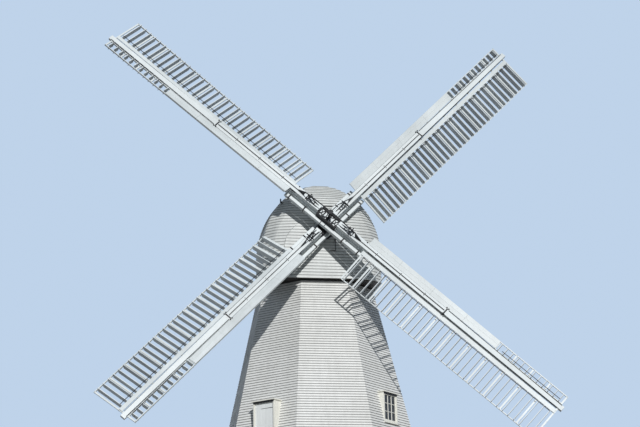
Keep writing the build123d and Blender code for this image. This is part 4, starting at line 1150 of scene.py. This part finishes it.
def clamp(number, side):
    """A baulk with its edges taken off, carried along the stock. Towards each end its depth
    narrows as a half circle does."""
    nose = CLAMP_DEPTH / 2
    flat = CLAMP_LENGTH - nose
    fine = nose * np.sin(np.linspace(0, np.pi / 2, 7))
    along = np.concatenate([-flat - fine[::-1], flat + fine])
    past = np.clip(np.abs(along) - flat, 0, nose * 0.995)
    d = np.sqrt(nose ** 2 - past ** 2)[:, None]
    half, e = CLAMP_WIDTH / 2, CLAMP_EDGE
    x = np.array([-half + e, half - e, half, half, half - e, -half + e, -half, -half])
    cut = np.minimum(e, d * 0.3)
    z = CLAMP_MIDDLE + np.hstack([-d, -d, -d + cut, d - cut, d, d, d - cut, -d + cut])
    return carried(on_sail(number, side * CLAMP_SIDE + x, along[:, None], z, False)[None])


sail_paint = paint("sail_paint", SAIL_WHITE, SAIL_GRIME, 0.45, (4, 4, 4), (0.35, 0.55), 0.0015,
                   0.04, 0.3)
new_piece("socket_blocks", socket_blocks(1), "sails", "sail_timber", sail_paint)
dress(sail_paint, "inner_stock", "outer_stock")
clamps = joined(*[clamp(number, side) for number in (0, 1) for side in (-1, 1)])
clamp_piece = new_piece("sail_clamps", clamps, "sails", "sail_timber", sail_paint)
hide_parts("stock_clamps")
dress(iron, "stock_straps")
clamp_bolts = on_each(bolts, [-CLAMP_SIDE, CLAMP_SIDE] * 2, np.repeat(CLAMP_BOLTS, 2), CLAMP_BAND)
through_bolts = on_each(bolts, [-0.05, 0.05] * 3, np.repeat(THROUGH_BOLTS, 2), 0.10)
end_bolts = on_each(bolts, [-0.145, 0.145] * 2, np.repeat(END_BOLTS, 2), 0.104, 0.026, 0.035)
stock_bolts = joined(clamp_bolts, through_bolts, end_bolts)
new_piece("stock_bolts", stock_bolts, "sails", "black_iron", iron)

# Sail frames
# Oak bars pass through mortises in each whip, twisted so that the sail's angle eases from the heel
# to the tip. Laths of the same join the bars at the edges, and everything is painted white.

TRAILING_EDGE = 1.426
LEADING_EDGE = -0.464
LATH = 0.03
BAYS = 12
BAR_PITCH = 0.739
HEEL_BAY = 0.7
WHIP_RODS = [((-0.132, 1.48, 0.05), (-0.132, 5.28, 0.05)),
             ((0.138, 1.90, 0.055), (0.136, 5.28, 0.055)),
             ((-0.100, 5.42, 0.107), (-0.076, 10.50, 0.069)),
             ((0.128, 5.42, 0.03), (0.105, 10.40, 0.03))]
WHIP_ROD_RADIUS = 0.011

bar_places = SAIL_HEEL + np.concatenate([[0.0], (HEEL_BAY + np.arange(BAYS)) * BAR_PITCH])
dress(sail_paint, "whips", *[f"sail_frame_{number}" for number in (1, 2, 3, 4)])
lath_places = np.repeat([TRAILING_EDGE - LATH / 2, LEADING_EDGE + LATH / 2], BAYS + 1)
frame_bolts = on_each(bolts, lath_places, np.tile(bar_places, 2), LATH, 0.010, 0.008, True)
new_piece("frame_bolts", frame_bolts, "sails", "black_iron", iron)


def sail_bars(number, ends, radius):
    """Round bars on a sail between two points each, (across, along, front), which its weather
    doesn't turn."""
    placed = on_sail(number, *np.moveaxis(np.array(ends), -1, 0), False)
    return bars_between(placed[:, 0], placed[:, 1], radius)


whip_rods = on_each(sail_bars, WHIP_RODS, WHIP_ROD_RADIUS)
new_piece("whip_rods", whip_rods, "sails", "black_iron", iron)

# Shutters
# Light frames of pine covered with painted canvas, three to a bay, turn on iron pins in the laths.
# Two thin bars run down each sail and tie the little cranks on the shutters together.

BOARDED_BAYS = 8
SHUTTER_CHORD = 0.240
SHUTTER_THICK = 0.026
SHUTTER_RIB = 0.030
SHUTTER_START = 0.42
TRAILING_SPAN = (0.3005, 1.3955)
LEADING_SPAN = (-0.4335, -0.1505)
# Each shutter bar: its place across the sail, and where along the whip it starts.
SHUTTER_BARS = ((0.36, SAIL_HEEL + 0.1), (-0.20, 7.75))
SHUTTER_BAR_FRONT = 0.125
SHUTTER_BAR_END = SAIL_END - 0.12
SHUTTER_WHITE = (0.80, 0.84, 0.85, 1)


def shutter_places(first_bay):
    """Places of the shutters along the whip from a bay to the tip: two in the short bay at the
    heel, and three in each other."""
    step = BAR_PITCH / 3
    return np.concatenate([bar_places[bay] + step * (np.arange(3 if bay else 2) + SHUTTER_START)
                           for bay in range(first_bay, BAYS)])


def vanes(number, first_bay, span):
    """Open shutters, edge to the front: a thin panel with a thicker rib along its front edge, as a
    profile carried across the sail between two laths."""
    half = SHUTTER_CHORD / 2
    rib = half - SHUTTER_RIB
    front = np.array([-half, -half + 0.006, rib - 0.006, rib, half - 0.004, half])
    thick = SHUTTER_THICK / 2 * np.array([0.3, 0.5, 0.5, 1, 1, 0.7])
    along = shutter_places(first_bay)[:, None, None] + np.append(-thick, thick[::-1])
    x = np.array(span)[:, None]
    return carried(on_sail(number, x, along, np.append(front, front[::-1])))


canvas = paint("shutter_canvas", SHUTTER_WHITE, SAIL_GRIME, 0.5, (12, 12, 12), (0.5, 0.7), 0.001,
               0.05)
for number in range(4):
    rows = joined(vanes(number, 0, TRAILING_SPAN), vanes(number, BOARDED_BAYS, LEADING_SPAN))
    row_piece = new_piece(f"shutter_row_{number + 1}", rows, "sails", "sail_boards", canvas,
                          tone=tones(rows, 24, -0.06, 0.04))
    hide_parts(f"sail_shutters_{number + 1}")


def shutter_bar(number, across, first):
    """A flat bar down the sail to its tip, in one run for each bay so that it follows the sail's
    twist."""
    along = np.linspace(first, SHUTTER_BAR_END, BAYS + 1)
    x = across + np.array([-0.012, 0.012, 0.012, -0.012])
    z = SHUTTER_BAR_FRONT + np.array([-0.004, -0.004, 0.004, 0.004])
    return carried(on_sail(number, x, along[:, None], z)[None])


shutter_bars = joined(*[on_each(shutter_bar, *bar) for bar in SHUTTER_BARS])
new_piece("shutter_bars", shutter_bars, "sails", "black_iron", iron)

# Leading boards
# Two thin boards edge to edge close the leading side of each sail for two thirds of its length.
# They are nailed to the bars, twist with them, and meet the next pair in a butt on every other bar.

BOARD_LOW = 0.0305
BOARD_HIGH = 0.0525
BOARDS_INNER = -0.150
LEADING_BOARDS = 2
BOARD_JOINT = 0.001
NAIL_APART = 0.06
NAILED_BARS = BOARDED_BAYS + 1


def sail_planks(number, first, last):
    """Boards along a sail's front: a rectangle with its front edges taken off, carried along the
    whip at five stations of its weather, with a joint 1 mm wide between two boards."""
    cuts = np.linspace(LEADING_EDGE, BOARDS_INNER, LEADING_BOARDS + 1)
    x, z = plank_profile(cuts[:-1] + BOARD_JOINT / 2, cuts[1:] - BOARD_JOINT / 2,
                         BOARD_LOW, BOARD_HIGH, 0.002)
    return carried(on_sail(number, x[:, None], np.linspace(first, last, 5)[:, None], z))


board_paint = paint("board_paint", SAIL_WHITE, SAIL_GRIME, 0.5, (5, 5, 5), (0.35, 0.55), 0.0015,
                    0.05, 0.35)
butts = np.append(SAIL_HEEL - 0.06, bar_places[2:NAILED_BARS:2])
leading = joined(*[sail_planks(number, first, last) for number in range(4)
                   for first, last in zip(butts[:-1] + 0.004, butts[1:])])
leading_piece = new_piece("leading_planks", leading, "sails", "sail_boards", board_paint,
                          tone=tones(leading, 30, -0.04, 0.02))
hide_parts("leading_boards")
dress(board_paint, "whip_boards")
nail_lines = np.linspace(LEADING_EDGE, BOARDS_INNER, 7)[1::2, None]
nail_x = (nail_lines + (-NAIL_APART / 2, NAIL_APART / 2)).ravel()
nails = on_each(bolts, np.tile(nail_x, NAILED_BARS), np.repeat(bar_places[:NAILED_BARS], 6),
                BOARD_HIGH, 0.004, 0.001, True)
new_piece("board_nails", nails, "sails", "sail_boards", board_paint)

# Striking gear
# A rod through the bored windshaft works a spider, whose four links swing the bell cranks on the
# whips. Each crank stands in a forked bracket of black iron and moves the bars along its sail.

BRACKET_BAR = 0.017
# The bracket's two legs, its pin, and the foot across under the legs.
BRACKET = [((-0.075, 1.07, 0.10), (-0.040, 0.875, 0.35)),
           ((0.075, 1.07, 0.10), (0.040, 0.875, 0.35)),
           ((-0.060, 0.875, 0.35), (0.060, 0.875, 0.35)),
           ((-0.095, 1.07, 0.105), (0.095, 1.07, 0.105))]
YOKE_BAR = 0.022
YOKE = [((-0.165, 0.975, 0.222), (0.165, 0.975, 0.222))]
# Two stays from the canister's end up to the yoke, and a short tie across them.
STAYS = [((side, 0.45, 0.06), (side, 0.975, 0.222)) for side in (-0.055, 0.055)]
STAY_TIE = [((-0.055, 0.7125, 0.141), (0.055, 0.7125, 0.141))]
TIE_BAR = 0.0119

dress(iron, "spider", "bell_cranks")
gear = joined(*[on_each(sail_bars, ends, radius) for ends, radius in (
    (BRACKET + STAYS, BRACKET_BAR), (YOKE, YOKE_BAR), (STAY_TIE, TIE_BAR))])
new_piece("crank_brackets", gear, "sails", "black_iron", iron)
